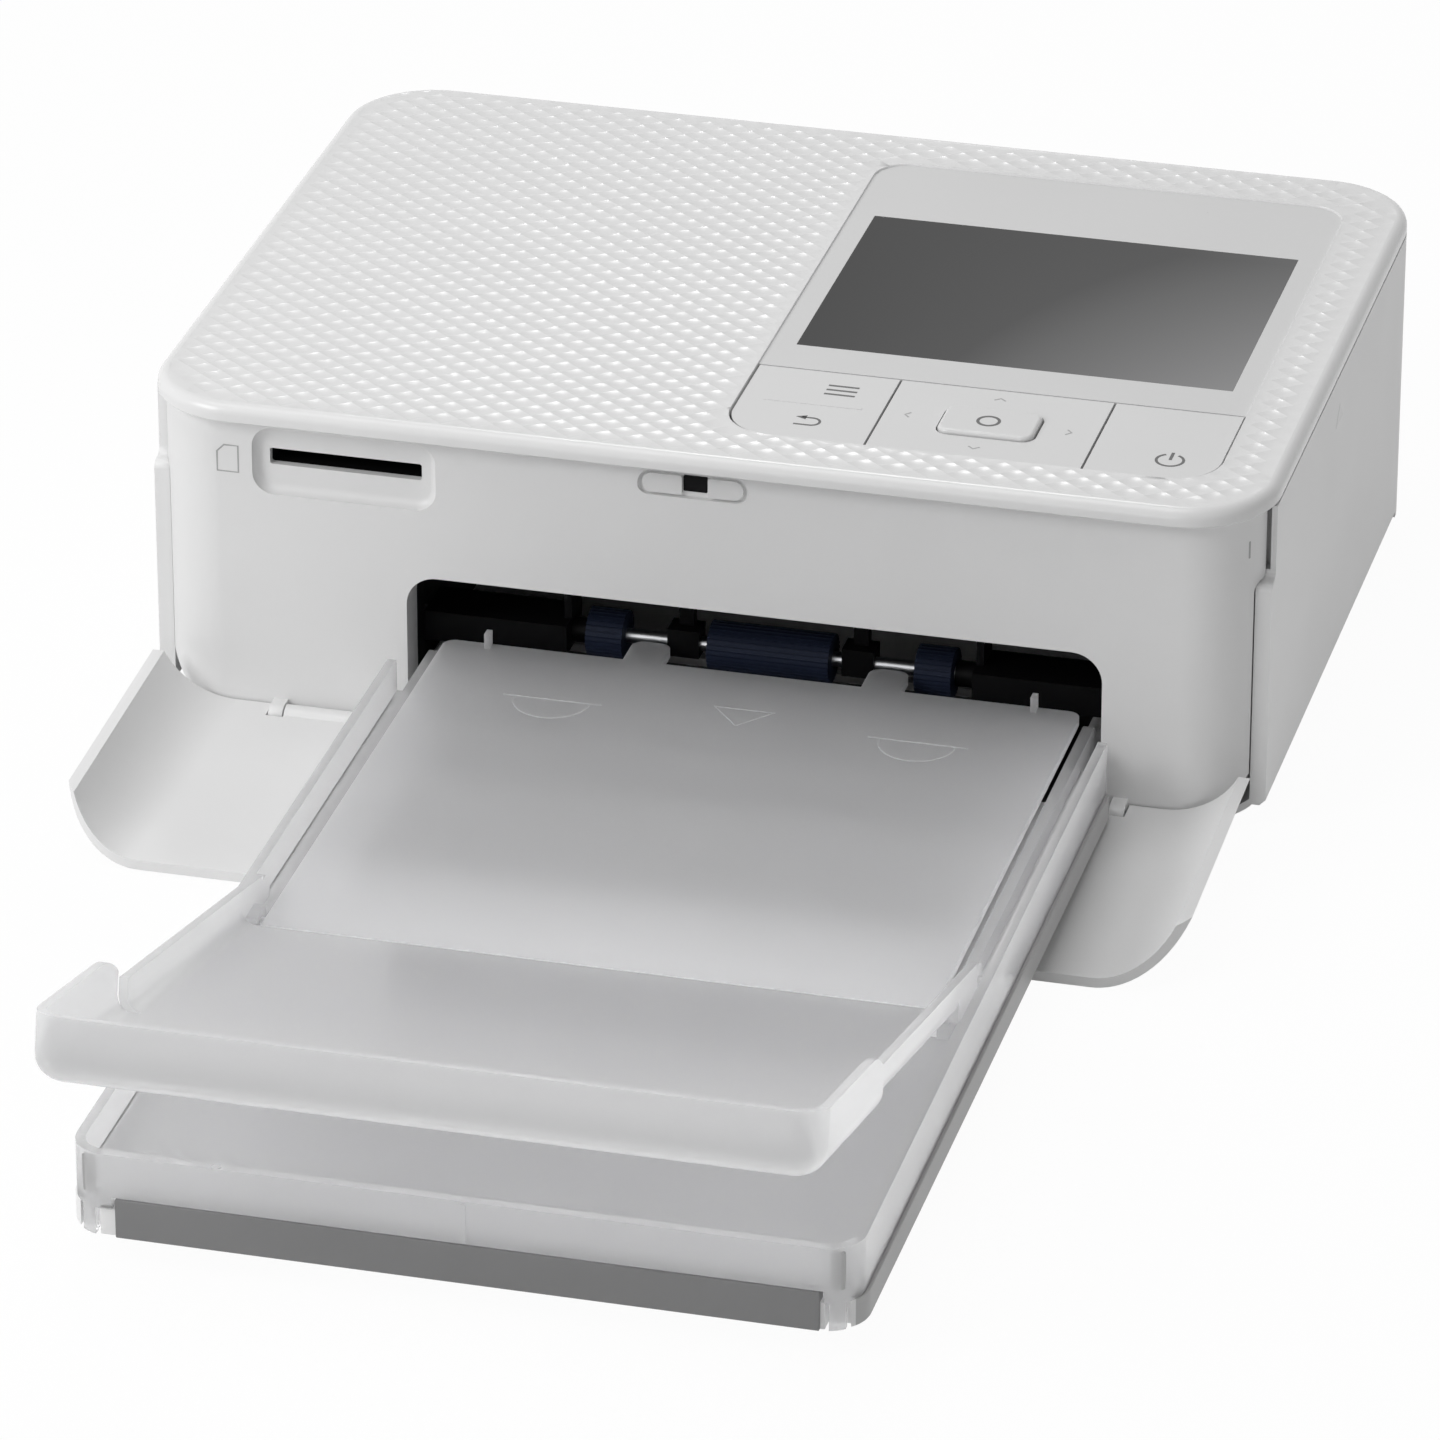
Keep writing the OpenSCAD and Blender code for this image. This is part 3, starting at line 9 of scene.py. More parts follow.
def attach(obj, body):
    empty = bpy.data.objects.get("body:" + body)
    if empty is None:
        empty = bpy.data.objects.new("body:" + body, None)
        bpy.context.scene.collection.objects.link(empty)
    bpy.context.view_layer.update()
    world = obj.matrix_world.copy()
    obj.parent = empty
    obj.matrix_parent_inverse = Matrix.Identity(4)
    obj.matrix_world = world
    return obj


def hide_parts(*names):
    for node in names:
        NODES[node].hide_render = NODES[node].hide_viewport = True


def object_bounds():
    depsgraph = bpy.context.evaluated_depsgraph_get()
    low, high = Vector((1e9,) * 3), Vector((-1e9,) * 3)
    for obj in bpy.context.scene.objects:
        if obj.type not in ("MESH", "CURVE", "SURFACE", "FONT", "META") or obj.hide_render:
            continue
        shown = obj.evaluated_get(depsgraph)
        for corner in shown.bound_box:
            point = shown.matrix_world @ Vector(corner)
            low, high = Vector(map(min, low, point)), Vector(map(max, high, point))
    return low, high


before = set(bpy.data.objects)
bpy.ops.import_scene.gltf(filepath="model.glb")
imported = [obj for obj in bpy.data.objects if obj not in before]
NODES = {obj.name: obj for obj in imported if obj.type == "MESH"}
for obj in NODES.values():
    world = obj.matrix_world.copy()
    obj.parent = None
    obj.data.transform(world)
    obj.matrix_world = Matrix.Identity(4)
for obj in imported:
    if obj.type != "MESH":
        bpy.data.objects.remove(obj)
cad_lo, cad_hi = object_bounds()
MM = 0.001

# The CAD source measures y from the front of the casing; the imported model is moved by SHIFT.
DEPTH = 133.0
SHIFT = cad_hi[1] / MM - DEPTH
PATH_X = 9.7  # middle of the paper path


def P(x, y, z):
    """Point of the CAD source's working frame, in mm, as a point of the row frame, in metres."""
    return Vector((x * MM, (y + SHIFT) * MM, z * MM))


# ------------------------------------------------------------------ camera, calibrated on the photograph

scene = bpy.context.scene
AZ, EL, DIST = math.radians(14.592), math.radians(26.883), 1.49906
TARGET = P(-10.6, 59.5, -18.9)
back = Vector((math.sin(AZ) * math.cos(EL), -math.cos(AZ) * math.cos(EL), math.sin(EL)))
cam_data = bpy.data.cameras.new("camera")
cam_data.lens = 226.1
cam_data.sensor_width = 36.0
cam_data.clip_start, cam_data.clip_end = 0.05, 20.0
cam = bpy.data.objects.new("camera", cam_data)
scene.collection.objects.link(cam)
cam.rotation_mode = "QUATERNION"
cam.location = TARGET + back * DIST
cam.rotation_quaternion = (-back).to_track_quat("-Z", "Y")
scene.camera = cam

# ------------------------------------------------------------------ materials


def node_material(name):
    m = bpy.data.materials.new(name)
    m.use_nodes = True
    t = m.node_tree
    bsdf = t.nodes["Principled BSDF"]
    coord = t.nodes.new("ShaderNodeTexCoord")
    return m, t, bsdf, coord.outputs["Object"]


def noise(t, coord, scale, detail=3.0, rough=0.5):
    n = t.nodes.new("ShaderNodeTexNoise")
    n.inputs["Scale"].default_value = scale
    n.inputs["Detail"].default_value = detail
    n.inputs["Roughness"].default_value = rough
    t.links.new(coord, n.inputs["Vector"])
    return n.outputs["Fac"]


def ramp(t, fac, a, b, lo=0.35, hi=0.65):
    r = t.nodes.new("ShaderNodeValToRGB")
    r.color_ramp.elements[0].position = lo
    r.color_ramp.elements[1].position = hi
    r.color_ramp.elements[0].color = (*a, 1)
    r.color_ramp.elements[1].color = (*b, 1)
    t.links.new(fac, r.inputs["Fac"])
    return r.outputs["Color"]


def rough_range(t, bsdf, fac, lo, hi):
    m = t.nodes.new("ShaderNodeMapRange")
    m.inputs["To Min"].default_value = lo
    m.inputs["To Max"].default_value = hi
    t.links.new(fac, m.inputs["Value"])
    t.links.new(m.outputs["Result"], bsdf.inputs["Roughness"])


def bump(t, bsdf, fac, strength, distance):
    b = t.nodes.new("ShaderNodeBump")
    b.inputs["Strength"].default_value = strength
    b.inputs["Distance"].default_value = distance
    t.links.new(fac, b.inputs["Height"])
    t.links.new(b.outputs["Normal"], bsdf.inputs["Normal"])


def tint(c, k):
    return tuple(min(1.0, x * k) for x in c)


def moulded(name, color, lo, hi, grain=0.25, grain_scale=2600.0, vary=0.985, ior=1.47):
    """Moulded plastic: faint cloudy tone, a fine spark-eroded grain, roughness that wanders a little."""
    m, t, bsdf, coord = node_material(name)
    cloud = noise(t, coord, 38.0, 2.0)
    t.links.new(ramp(t, cloud, tint(color, vary), color), bsdf.inputs["Base Color"])
    rough_range(t, bsdf, noise(t, coord, 90.0, 3.0), lo, hi)
    bump(t, bsdf, noise(t, coord, grain_scale, 2.0, 0.6), grain, 0.00002)
    bsdf.inputs["IOR"].default_value = ior
    return m


def axes(t, coord):
    xyz = t.nodes.new("ShaderNodeSeparateXYZ")
    t.links.new(coord, xyz.inputs["Vector"])
    return xyz.outputs


def math_node(t, operation, *values):
    """Math node; each value is a socket or a number."""
    m = t.nodes.new("ShaderNodeMath")
    m.operation = operation
    for socket, value in zip(m.inputs, values):
        if isinstance(value, (int, float)):
            socket.default_value = value
        else:
            t.links.new(value, socket)
    return m.outputs["Value"]


def mix_color(t, fac, a, b):
    mx = t.nodes.new("ShaderNodeMix")
    mx.data_type = "RGBA"
    t.links.new(fac, mx.inputs["Factor"])
    t.links.new(a, mx.inputs["A"])
    t.links.new(b, mx.inputs["B"])
    return mx.outputs["Result"]


def mix_shader(t, fac, a, b):
    mx = t.nodes.new("ShaderNodeMixShader")
    if isinstance(fac, float):
        mx.inputs["Fac"].default_value = fac
    else:
        t.links.new(fac, mx.inputs["Fac"])
    t.links.new(a, mx.inputs[1])
    t.links.new(b, mx.inputs[2])
    return mx.outputs["Shader"]


def step_mask(t, axis_out, low, high):
    """0 where the coordinate is at low, 1 where it is at high, which may be the smaller value."""
    m = t.nodes.new("ShaderNodeMapRange")
    m.inputs["From Min"].default_value = low
    m.inputs["From Max"].default_value = high
    t.links.new(axis_out, m.inputs["Value"])
    return m.outputs["Result"]


COVER_WALL_Y = (-182.4, -183.2)  # where the outer cover's thick front wall begins
GLOW = 0.30  # share of the light that scatters in the wall


def frosted(name, color, rough, clear, grain=0.35, wall=None):
    """Translucent frosted plastic: part of the light passes, scattered; the rest scatters in the wall."""
    m, t, bsdf, coord = node_material(name)
    cloud = noise(t, coord, 22.0, 2.0)
    body_color = ramp(t, cloud, tint(color, 0.98), color)
    if wall:
        thick = step_mask(t, axes(t, coord)["Y"], *(P(0, y, 0).y for y in COVER_WALL_Y))
        wall_color = ramp(t, cloud, tint(color, wall * 0.98), tint(color, wall))
        body_color = mix_color(t, thick, body_color, wall_color)
    t.links.new(body_color, bsdf.inputs["Base Color"])
    rough_range(t, bsdf, noise(t, coord, 60.0, 3.0), rough * 0.9, rough * 1.1)
    bump(t, bsdf, noise(t, coord, 1900.0, 2.0, 0.6), grain, 0.00003)
    bsdf.inputs["IOR"].default_value = 1.35
    bsdf.inputs["Transmission Weight"].default_value = clear
    bsdf.inputs["Coat Weight"].default_value = 0.5
    bsdf.inputs["Coat Roughness"].default_value = 0.1
    glow = t.nodes.new("ShaderNodeBsdfTranslucent")
    glow.inputs["Color"].default_value = (0.96, 0.96, 0.965, 1)
    mixed = mix_shader(t, GLOW, bsdf.outputs["BSDF"], glow.outputs["BSDF"])
    t.links.new(mixed, t.nodes["Material Output"].inputs["Surface"])
    return m


def metal(name, color, lo, hi, stretch=(1, 60, 60), scale=300.0):
    m, t, bsdf, coord = node_material(name)
    mp = t.nodes.new("ShaderNodeMapping")
    mp.inputs["Scale"].default_value = stretch
    t.links.new(coord, mp.inputs["Vector"])
    grain = noise(t, mp.outputs["Vector"], scale, 3.0)
    t.links.new(ramp(t, grain, tint(color, 0.9), color), bsdf.inputs["Base Color"])
    rough_range(t, bsdf, grain, lo, hi)
    bump(t, bsdf, grain, 0.15, 0.00002)
    bsdf.inputs["Metallic"].default_value = 1.0
    return m


BAR_Y = (-166.02, -166.12)  # front face of the cassette's base
BAR_TOP_Y, BAR_TOP_Z = (-160.0, -160.1), (9.05, 9.15)
SHADED_SIDE_X = (PATH_X + 57.6, PATH_X + 57.7)  # outer face of its right wall, painted grey as painted shade
# from here inwards, inside the casing, the base is painted near black as painted shade
SHADED_INNER_END_Y = (-2.9, -2.7)


def cassette_plastic():
    """The cassette's base: pale plastic, its front bar dark grey; its right wall's outer face is painted grey
    and its inner end is painted near black, both painted shade.
    """
    m, t, bsdf, coord = node_material("band_plastic")
    xyz = axes(t, coord)
    cloud = noise(t, coord, 38.0, 2.0)

    def greys(lo, hi, blue=0.0):
        return ramp(t, cloud, (lo, lo, lo + blue), (hi, hi, hi + blue))

    def y_mask(span):
        return step_mask(t, xyz["Y"], *(P(0, y, 0).y for y in span))

    bar_top = math_node(t, "MULTIPLY", step_mask(t, xyz["Z"], *(z * MM for z in BAR_TOP_Z)), y_mask(BAR_TOP_Y))
    bar = math_node(t, "MAXIMUM", y_mask(BAR_Y), bar_top)
    side = step_mask(t, xyz["X"], *(P(x, 0, 0).x for x in SHADED_SIDE_X))
    # painted shade: the right wall's outer face is painted grey
    color = mix_color(t, side, greys(0.80, 0.82), greys(0.47, 0.49))
    color = mix_color(t, bar, color, greys(0.195, 0.205, 0.002))
    # painted shade: the end inside the casing is painted near black
    color = mix_color(t, y_mask(SHADED_INNER_END_Y), color, greys(0.012, 0.015))
    t.links.new(color, bsdf.inputs["Base Color"])
    rough_range(t, bsdf, noise(t, coord, 90.0, 3.0), 0.4, 0.5)
    bump(t, bsdf, noise(t, coord, 2600.0, 2.0, 0.6), 0.25, 0.00002)
    return m


REFLECTION_X, REFLECTION_Y = (3, 77), (96, 44)  # from the dark corner of the painted reflection to the pale one
# tones of the painted reflection, from its dark corner to its pale one
PAINTED_REFLECTION_TONES = ((0.0, 0.014), (0.375, 0.045), (0.5, 0.10), (1.0, 0.27))


def display():
    """Display window: near black, with a painted reflection that makes it paler towards its front right corner.
    """
    m, t, bsdf, coord = node_material("display_glass")
    xyz = axes(t, coord)
    across = step_mask(t, xyz["X"], *(P(x, 0, 0).x for x in REFLECTION_X))
    front = step_mask(t, xyz["Y"], *(P(0, y, 0).y for y in REFLECTION_Y))
    # painted reflection: the base colour grows paler towards the front right corner
    reflection_fade = math_node(t, "MULTIPLY_ADD", across, 1.0, math_node(t, "MULTIPLY", front, across))
    r = t.nodes.new("ShaderNodeValToRGB")
    stops = r.color_ramp.elements
    while len(stops) < len(PAINTED_REFLECTION_TONES):
        stops.new(0.5)
    for stop, (pos, v) in zip(stops, PAINTED_REFLECTION_TONES):
        stop.position, stop.color = pos, (v, v, v * 1.01, 1)
    t.links.new(math_node(t, "MULTIPLY", reflection_fade, 0.5), r.inputs["Fac"])
    t.links.new(r.outputs["Color"], bsdf.inputs["Base Color"])
    rough_range(t, bsdf, noise(t, coord, 90.0, 3.0), 0.05, 0.09)
    bsdf.inputs["IOR"].default_value = 1.26
    return m


WHITE = (0.80, 0.80, 0.80)
MAT = {
    "skin": moulded("skin_plastic", WHITE, 0.22, 0.26, grain=0.1),
    "lcd": display(),
    "white": moulded("white_plastic", WHITE, 0.34, 0.42),
    "key": moulded("key_plastic", (0.73, 0.73, 0.73), 0.30, 0.36, grain=0.12),
    "panel": moulded("panel_plastic", (0.69, 0.69, 0.69), 0.26, 0.32, grain=0.08),
    "inner": moulded("inner_plastic", (0.008, 0.008, 0.009), 0.45, 0.6, grain=0.3, ior=1.2),
    "black": moulded("black_plastic", (0.005, 0.005, 0.0055), 0.40, 0.55, ior=1.2),
    "band": cassette_plastic(),
    "print": moulded("print_ink", (0.10, 0.10, 0.10), 0.4, 0.5, grain=0.05),
    "faint": moulded("faint_ink", (0.42, 0.42, 0.42), 0.4, 0.5, grain=0.05),
    "hook": moulded("hook_plastic", (0.09, 0.09, 0.09), 0.35, 0.45),
    "pad": moulded("pad_plastic", (0.76, 0.76, 0.76), 0.2, 0.26, grain=0.05),
    "frost": frosted("frost_plastic", (0.90, 0.90, 0.905), 0.26, 0.80, wall=0.70),
    "frost_lid": frosted("frost_lid_plastic", (0.90, 0.90, 0.91), 0.42, 0.72),
    "navy": moulded("navy_rubber", (0.012, 0.018, 0.040), 0.55, 0.7, grain=0.5, grain_scale=1500.0,
                    ior=1.3),
    "rubber": moulded("black_rubber", (0.015, 0.015, 0.015), 0.6, 0.75, grain=0.5, grain_scale=1500.0),
    "foot": moulded("foot_rubber", (0.18, 0.18, 0.18), 0.6, 0.75, grain=0.5, grain_scale=1500.0),
    "steel": metal("steel", (0.62, 0.63, 0.65), 0.22, 0.38),
    "zinc": metal("zinc_plate", (0.50, 0.51, 0.52), 0.35, 0.5, (1, 1, 1), 400.0),
    "brass": metal("brass", (0.70, 0.52, 0.22), 0.25, 0.4),
    "gear": moulded("gear_plastic", (0.75, 0.74, 0.70), 0.45, 0.55),
    "board": moulded("board_mask", (0.02, 0.12, 0.06), 0.35, 0.5, grain=0.6, grain_scale=700.0),
    "film": moulded("ribbon_film", (0.02, 0.02, 0.035), 0.15, 0.25, grain=0.05),
}

BY_MATERIAL = {
    "white": "bottom_tray front_panel left_side_cover rear_panel top_cover front_door ink_door",
    "panel": "control_panel",
    "key": "menu_back_key nav_pad ok_key power_key",
    "lcd": "lcd_window",
    "black": "lcd_module key_carrier card_slot feed_guide power_inlet nav_gimbal paper_lift_plate",
    "inner": "left_frame_plate right_frame_plate",
    "band": "cassette_base ribbon_cartridge",
    "frost": "cassette_frame outer_cover",
    "frost_lid": "inner_lid",
    "navy": "pickup_rollers",
    "rubber": "platen_roller pinch_roller",
    "foot": "rubber_feet",
    "steel": "door_hinge_pins frame_crossbars pickup_shaft platen_shaft capstan_roller idler_pins"
             " head_pivot_rod feed_motor usb_port head_arm",
    "zinc": "gear_bracket thermal_head",
    "brass": "motor_pinion",
    "gear": "pickup_gear platen_gear capstan_gear idler_gear_a idler_gear_b idler_gear_c takeup_gear",
    "board": "main_board key_board",
    "film": "ribbon_film supply_spool takeup_spool",
}

# bevel width in mm; rear_panel has none, because its big face shades unevenly with one
BEVEL = {
    "front_panel": 0.25, "left_side_cover": 0.3, "ink_door": 0.3, "front_door": 0.35,
    "control_panel": 0.15, "menu_back_key": 0.2, "nav_pad": 0.2, "power_key": 0.2, "cassette_base": 0.3,
    "cassette_frame": 0.15, "inner_lid": 0.2, "outer_cover": 0.15, "bottom_tray": 0.3, "feed_guide": 0.3,
    "card_slot": 0.1,
}


def soften(o, width):
    """Joins the facets' corners, rounds the edges and shades by the larger faces."""
    w = o.modifiers.new("weld", "WELD")
    w.merge_threshold = 0.000002
    b = o.modifiers.new("bevel", "BEVEL")
    b.width = width * MM
    b.segments = 2
    b.limit_method = "ANGLE"
    b.angle_limit = math.radians(32)
    n = o.modifiers.new("normals", "WEIGHTED_NORMAL")
    n.mode = "FACE_AREA"
    n.keep_sharp = True


for key, names in BY_MATERIAL.items():
    for n in names.split():
        o = NODES[n]
        o.data.materials.clear()
        o.data.materials.append(MAT[key])
        o.data.polygons.foreach_set("use_smooth", [True] * len(o.data.polygons))
        if n in BEVEL:
            soften(o, BEVEL[n])
        else:
            o.data.set_sharp_from_angle(angle=math.radians(30))

# ------------------------------------------------------------------ mesh helpers


def add(name, verts, faces, mat, body, smooth=None):
    """Mesh piece that rides on a body; smooth is the angle, in degrees, above which edges stay sharp."""
    me = bpy.data.meshes.new(name)
    me.from_pydata([tuple(v) for v in verts], [], faces)
    me.validate()
    me.update()
    o = bpy.data.objects.new(name, me)
    scene.collection.objects.link(o)
    me.materials.append(MAT[mat])
    if smooth is not None:
        me.polygons.foreach_set("use_smooth", [True] * len(me.polygons))
        me.set_sharp_from_angle(angle=math.radians(smooth))
    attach(o, body)
    return o


def arc(cx, cy, r, a0, a1, n):
    """n + 1 points of an arc from the angle a0 to a1, in degrees."""
    return [(cx + r * math.cos(math.radians(a0 + (a1 - a0) * i / n)),
             cy + r * math.sin(math.radians(a0 + (a1 - a0) * i / n))) for i in range(n + 1)]


def rounded(x0, y0, x1, y1, r, n=16):
    """Rounded rectangle, counterclockwise; r is one radius, or one per corner from the front left on."""
    r = (r,) * 4 if isinstance(r, (int, float)) else r
    return (arc(x0 + r[0], y0 + r[0], r[0], 180, 270, n) + arc(x1 - r[1], y0 + r[1], r[1], 270, 360, n)
            + arc(x1 - r[2], y1 - r[2], r[2], 0, 90, n) + arc(x0 + r[3], y1 - r[3], r[3], 90, 180, n))


# ------------------------------------------------------------------ top cover with its dimpled skin

HW, TOP = 91.1, 57.6  # half width of the casing, height of its top
LIP_Z, LIP_R, LIP_IN, CORNER = 54.6, 1.8, 4.2, 15.0
UNDER_Z = 55.4  # underside of the skin
PANEL, PANEL_R = (1.5, 11.3, 81.0, 120.8), (8, 8, 6, 6)  # opening for the control panel
CHAMFER = 0.12
PITCH_X, PITCH_Y, DIMPLE = 5.25, 4.25, 0.52
DIMPLE_FADE = 2.0  # dimples nearer to an edge than this are shallower


def body_loop(d):
    """Outline of the casing from above, d inside its edge."""
    return rounded(-HW + d, d, HW - d, DEPTH - d, CORNER - d, 20)


def panel_loop(d):
    """Outline of the panel's opening, d inside its edge, clockwise."""
    loop = rounded(PANEL[0] + d, PANEL[1] + d, PANEL[2] - d, PANEL[3] - d, PANEL_R, 12)
    return loop[::-1]


def inside(poly, x, y):
    hit = False
    j = len(poly) - 1
    for i in range(len(poly)):
        xi, yi = poly[i]
        xj, yj = poly[j]
        if (yi > y) != (yj > y) and x < (xj - xi) * (y - yi) / (yj - yi) + xi:
            hit = not hit
        j = i
    return hit


def edge_distance(poly, x, y):
    best = 1e9
    for i in range(len(poly)):
        ax, ay = poly[i - 1]
        bx, by = poly[i]
        ex, ey = bx - ax, by - ay
        q = max(0.0, min(1.0, ((x - ax) * ex + (y - ay) * ey) / max(ex * ex + ey * ey, 1e-12)))
        best = min(best, math.hypot(x - ax - q * ex, y - ay - q * ey))
    return best


def skin(outer, hole):
    """Triangulates the region between outer and hole along the dimples' ridges; returns points with depth."""
    pts, edges = [], []
    for loop in (outer, hole):
        k = len(pts)
        pts.extend(loop)
        edges.extend((k + i, k + (i + 1) % len(loop)) for i in range(len(loop)))
    nx, ny = int(2 * HW / PITCH_X) + 3, int(DEPTH / PITCH_Y) + 3
    index = {}

    def corner(i, j):
        if (i, j) not in index:
            index[(i, j)] = len(pts)
            pts.append((-HW + i * PITCH_X / 2, j * PITCH_Y / 2))
        return index[(i, j)]

    x_min, x_max = min(p[0] for p in outer), max(p[0] for p in outer)
    for i in range(-2, 2 * nx):
        for j in range(-2, 2 * ny):
            if (i + j) % 2 == 0:
                a = corner(i, j)
                for di in (-1, 1):
                    edges.append((a, corner(i + di, j + 1)))
            else:
                x, y = -HW + i * PITCH_X / 2, j * PITCH_Y / 2
                if x_min < x < x_max and inside(outer, x, y) and not inside(hole, x, y):
                    d = min(edge_distance(outer, x, y), edge_distance(hole, x, y))
                    if d > 0.25:
                        index[(i, j)] = len(pts)
                        pts.append((x, y))
    v, _, f, *_ = delaunay_2d_cdt([Vector(p) for p in pts], edges, [], 0, 1e-5)
    out = []
    for p in v:
        z = 0.0
        i, j = (p.x + HW) / (PITCH_X / 2), p.y / (PITCH_Y / 2)
        if abs(i - round(i)) < 0.01 and abs(j - round(j)) < 0.01 and (round(i) + round(j)) % 2:
            d = min(edge_distance(outer, p.x, p.y), edge_distance(hole, p.x, p.y))
            z = -DIMPLE * min(1.0, d / DIMPLE_FADE)
        out.append((p.x, p.y, TOP + z))
    tris = []
    for t in f:
        cx, cy = sum(v[k].x for k in t) / len(t), sum(v[k].y for k in t) / len(t)
        if inside(outer, cx, cy) and not inside(hole, cx, cy):
            tris.append(tuple(t))
    used = sorted({k for t in tris for k in t})
    remap = {k: i for i, k in enumerate(used)}
    return [out[k] for k in used], [tuple(remap[k] for k in t) for t in tris]


def wall(verts, faces, rows):
    """Adds quads between successive rows of points, each row a closed loop."""
    n = len(rows[0])
    start = len(verts)
    for row in rows:
        verts.extend(row)
    for r in range(len(rows) - 1):
        for i in range(n):
            a, b = start + r * n + i, start + r * n + (i + 1) % n
            faces.append((a, a + n, b + n, b))


def at_height(loop, z):
    return [(x, y, z) for x, y in loop]


verts, faces = skin(body_loop(LIP_R), panel_loop(0)[::-1])
rows = [at_height(body_loop(LIP_R), TOP)]
for a in range(1, 9):
    ang = math.radians(90 * a / 8)
    rows.append(at_height(body_loop(LIP_R - LIP_R * math.sin(ang)), TOP - LIP_R + LIP_R * math.cos(ang)))
rows += [at_height(body_loop(0), LIP_Z + 0.25), at_height(body_loop(0.25), LIP_Z),
         at_height(body_loop(LIP_IN), LIP_Z), at_height(body_loop(LIP_IN), UNDER_Z)]
wall(verts, faces, rows)
wall(verts, faces, [at_height(panel_loop(0), TOP), at_height(panel_loop(CHAMFER), TOP - 0.25),
                    at_height(panel_loop(0), UNDER_Z)])
top = add("top_cover_skin", [P(*v) for v in verts], faces, "skin", "casing")
bm = bmesh.new()
bm.from_mesh(top.data)
bmesh.ops.remove_doubles(bm, verts=bm.verts, dist=1e-6)
bmesh.ops.recalc_face_normals(bm, faces=bm.faces)
for f in bm.faces:
    f.smooth = True
for e in bm.edges:
    # the dimples shade smoothly, the ridges between them stay sharp, all other edges shade by their angle
    ridge = all(v.co.z > (TOP - 0.01) * MM for v in e.verts)
    dished = len(e.link_faces) == 2 and all(0.8 < f.normal.z < 0.9999 for f in e.link_faces)
    e.smooth = not (ridge and dished) and e.calc_face_angle(0) < math.radians(40)
bm.to_mesh(top.data)
bm.free()
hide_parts("top_cover")

# ------------------------------------------------------------------ small details

KEY_Z, FACE_Y, LID_Z = 57.3, 3.0, 17.2  # tops of the keys, face of the front panel, top of the lid
INK = (-0.02, 0.03)  # low and high side of a printed mark, from its surface
SLOT_X = (-70.0, -45.1)  # mouth of the card socket


def line(points, width, closed=False):
    """Left and right edge of a line of the given width through 2-D points."""
    n = len(points)
    left, right = [], []
    for i, (x, y) in enumerate(points):
        ax, ay = points[i - 1] if i or closed else points[i]
        bx, by = points[(i + 1) % n] if i < n - 1 or closed else points[i]
        dx, dy = bx - ax, by - ay
        k = width / 2 / max(math.hypot(dx, dy), 1e-9)
        left.append((x - dy * k, y + dx * k))
        right.append((x + dy * k, y - dx * k))
    return left, right, closed


def relief(name, shapes, at, low, high, mat, body, slot):
    """Extrudes lines (left, right, closed) and filled polygons from low to high over the surface at()."""
    verts, faces = [], []
    for shape in shapes:
        start = len(verts)
        if isinstance(shape, tuple):
            left, right, closed = shape
            n = len(left)
            for (lx, ly), (rx, ry) in zip(left, right):
                verts += [at(lx, ly, high), at(rx, ry, high), at(lx, ly, low), at(rx, ry, low)]
            for i in range(n if closed else n - 1):
                a, b = start + 4 * i, start + 4 * ((i + 1) % n)
                faces += [(a, a + 1, b + 1, b), (a + 2, a, b, b + 2), (a + 1, a + 3, b + 3, b + 1)]
            if not closed:
                a, b = start, start + 4 * (n - 1)
                faces += [(a, a + 2, a + 3, a + 1), (b, b + 1, b + 3, b + 2)]
        else:
            n = len(shape)
            verts += [at(x, y, high) for x, y in shape] + [at(x, y, low) for x, y in shape]
            faces.append(tuple(range(start, start + n)))
            for i in range(n):
                j = (i + 1) % n
                faces.append((start + i, start + n + i, start + n + j, start + j))
    o = add(name, verts, faces, mat, body, smooth=30)
    bm = bmesh.new()
    bm.from_mesh(o.data)
    bmesh.ops.recalc_face_normals(bm, faces=bm.faces)
    bm.to_mesh(o.data)
    bm.free()
    return o


def ring(cx, cy, r, a0=0, a1=360):
    return arc(cx, cy, r, a0, a1, 40)


def on_top(z):
    return lambda u, v, h: P(u, v, z + h)


def facing(y):
    """Upright surface that faces the front: u is x, v the height."""
    return lambda u, v, h: P(u, y - h, v)


on_front = facing(FACE_Y)


def on_wing(u, v, h):
    """Right rounded corner of the front panel: u is the angle, v the height."""
    a = math.radians(u)
    return P(77.9 + (12.0 + h) * math.cos(a), 15.0 + (12.0 + h) * math.sin(a), v)


def on_side(u, v, h):
    """Right side of the casing: u is y, v the height."""
    return P(HW + h, u, v)


# icons of the keys
relief("menu_icon", [line([(14.4, y), (19.4, y)], 0.5) for y in (28.9, 30.5, 32.1)], on_top(KEY_Z), *INK,
       "print", "menu_rocker", "key_plastic")
back_path = [(13.2, 19.5), (15.0, 19.5)] + arc(15.0, 18.15, 1.35, 80, -90, 12) + [(12.4, 16.8)]
relief("back_icon", [line(back_path, 0.42), [(12.2, 19.5), (13.9, 18.75), (13.9, 20.25)]], on_top(KEY_Z), *INK,
       "print", "menu_rocker", "key_plastic")
relief("rocker_ridge", [line([(5.6, 24.6), (21.6, 24.6)], 0.5)], on_top(KEY_Z), -0.05, 0.08, "key",
       "menu_rocker", "key_plastic")
chevrons = []
for cx, cy, turn in ((42.0, 33.6, 90), (29.1, 24.5, 180), (55.1, 24.4, 0), (41.9, 15.2, 270)):
    c, s = math.cos(math.radians(turn)), math.sin(math.radians(turn))
    chevrons.append(line([(cx + c * u - s * v, cy + s * u + c * v)
                          for u, v in ((-0.35, 0.9), (0.45, 0.0), (-0.35, -0.9))], 0.3))
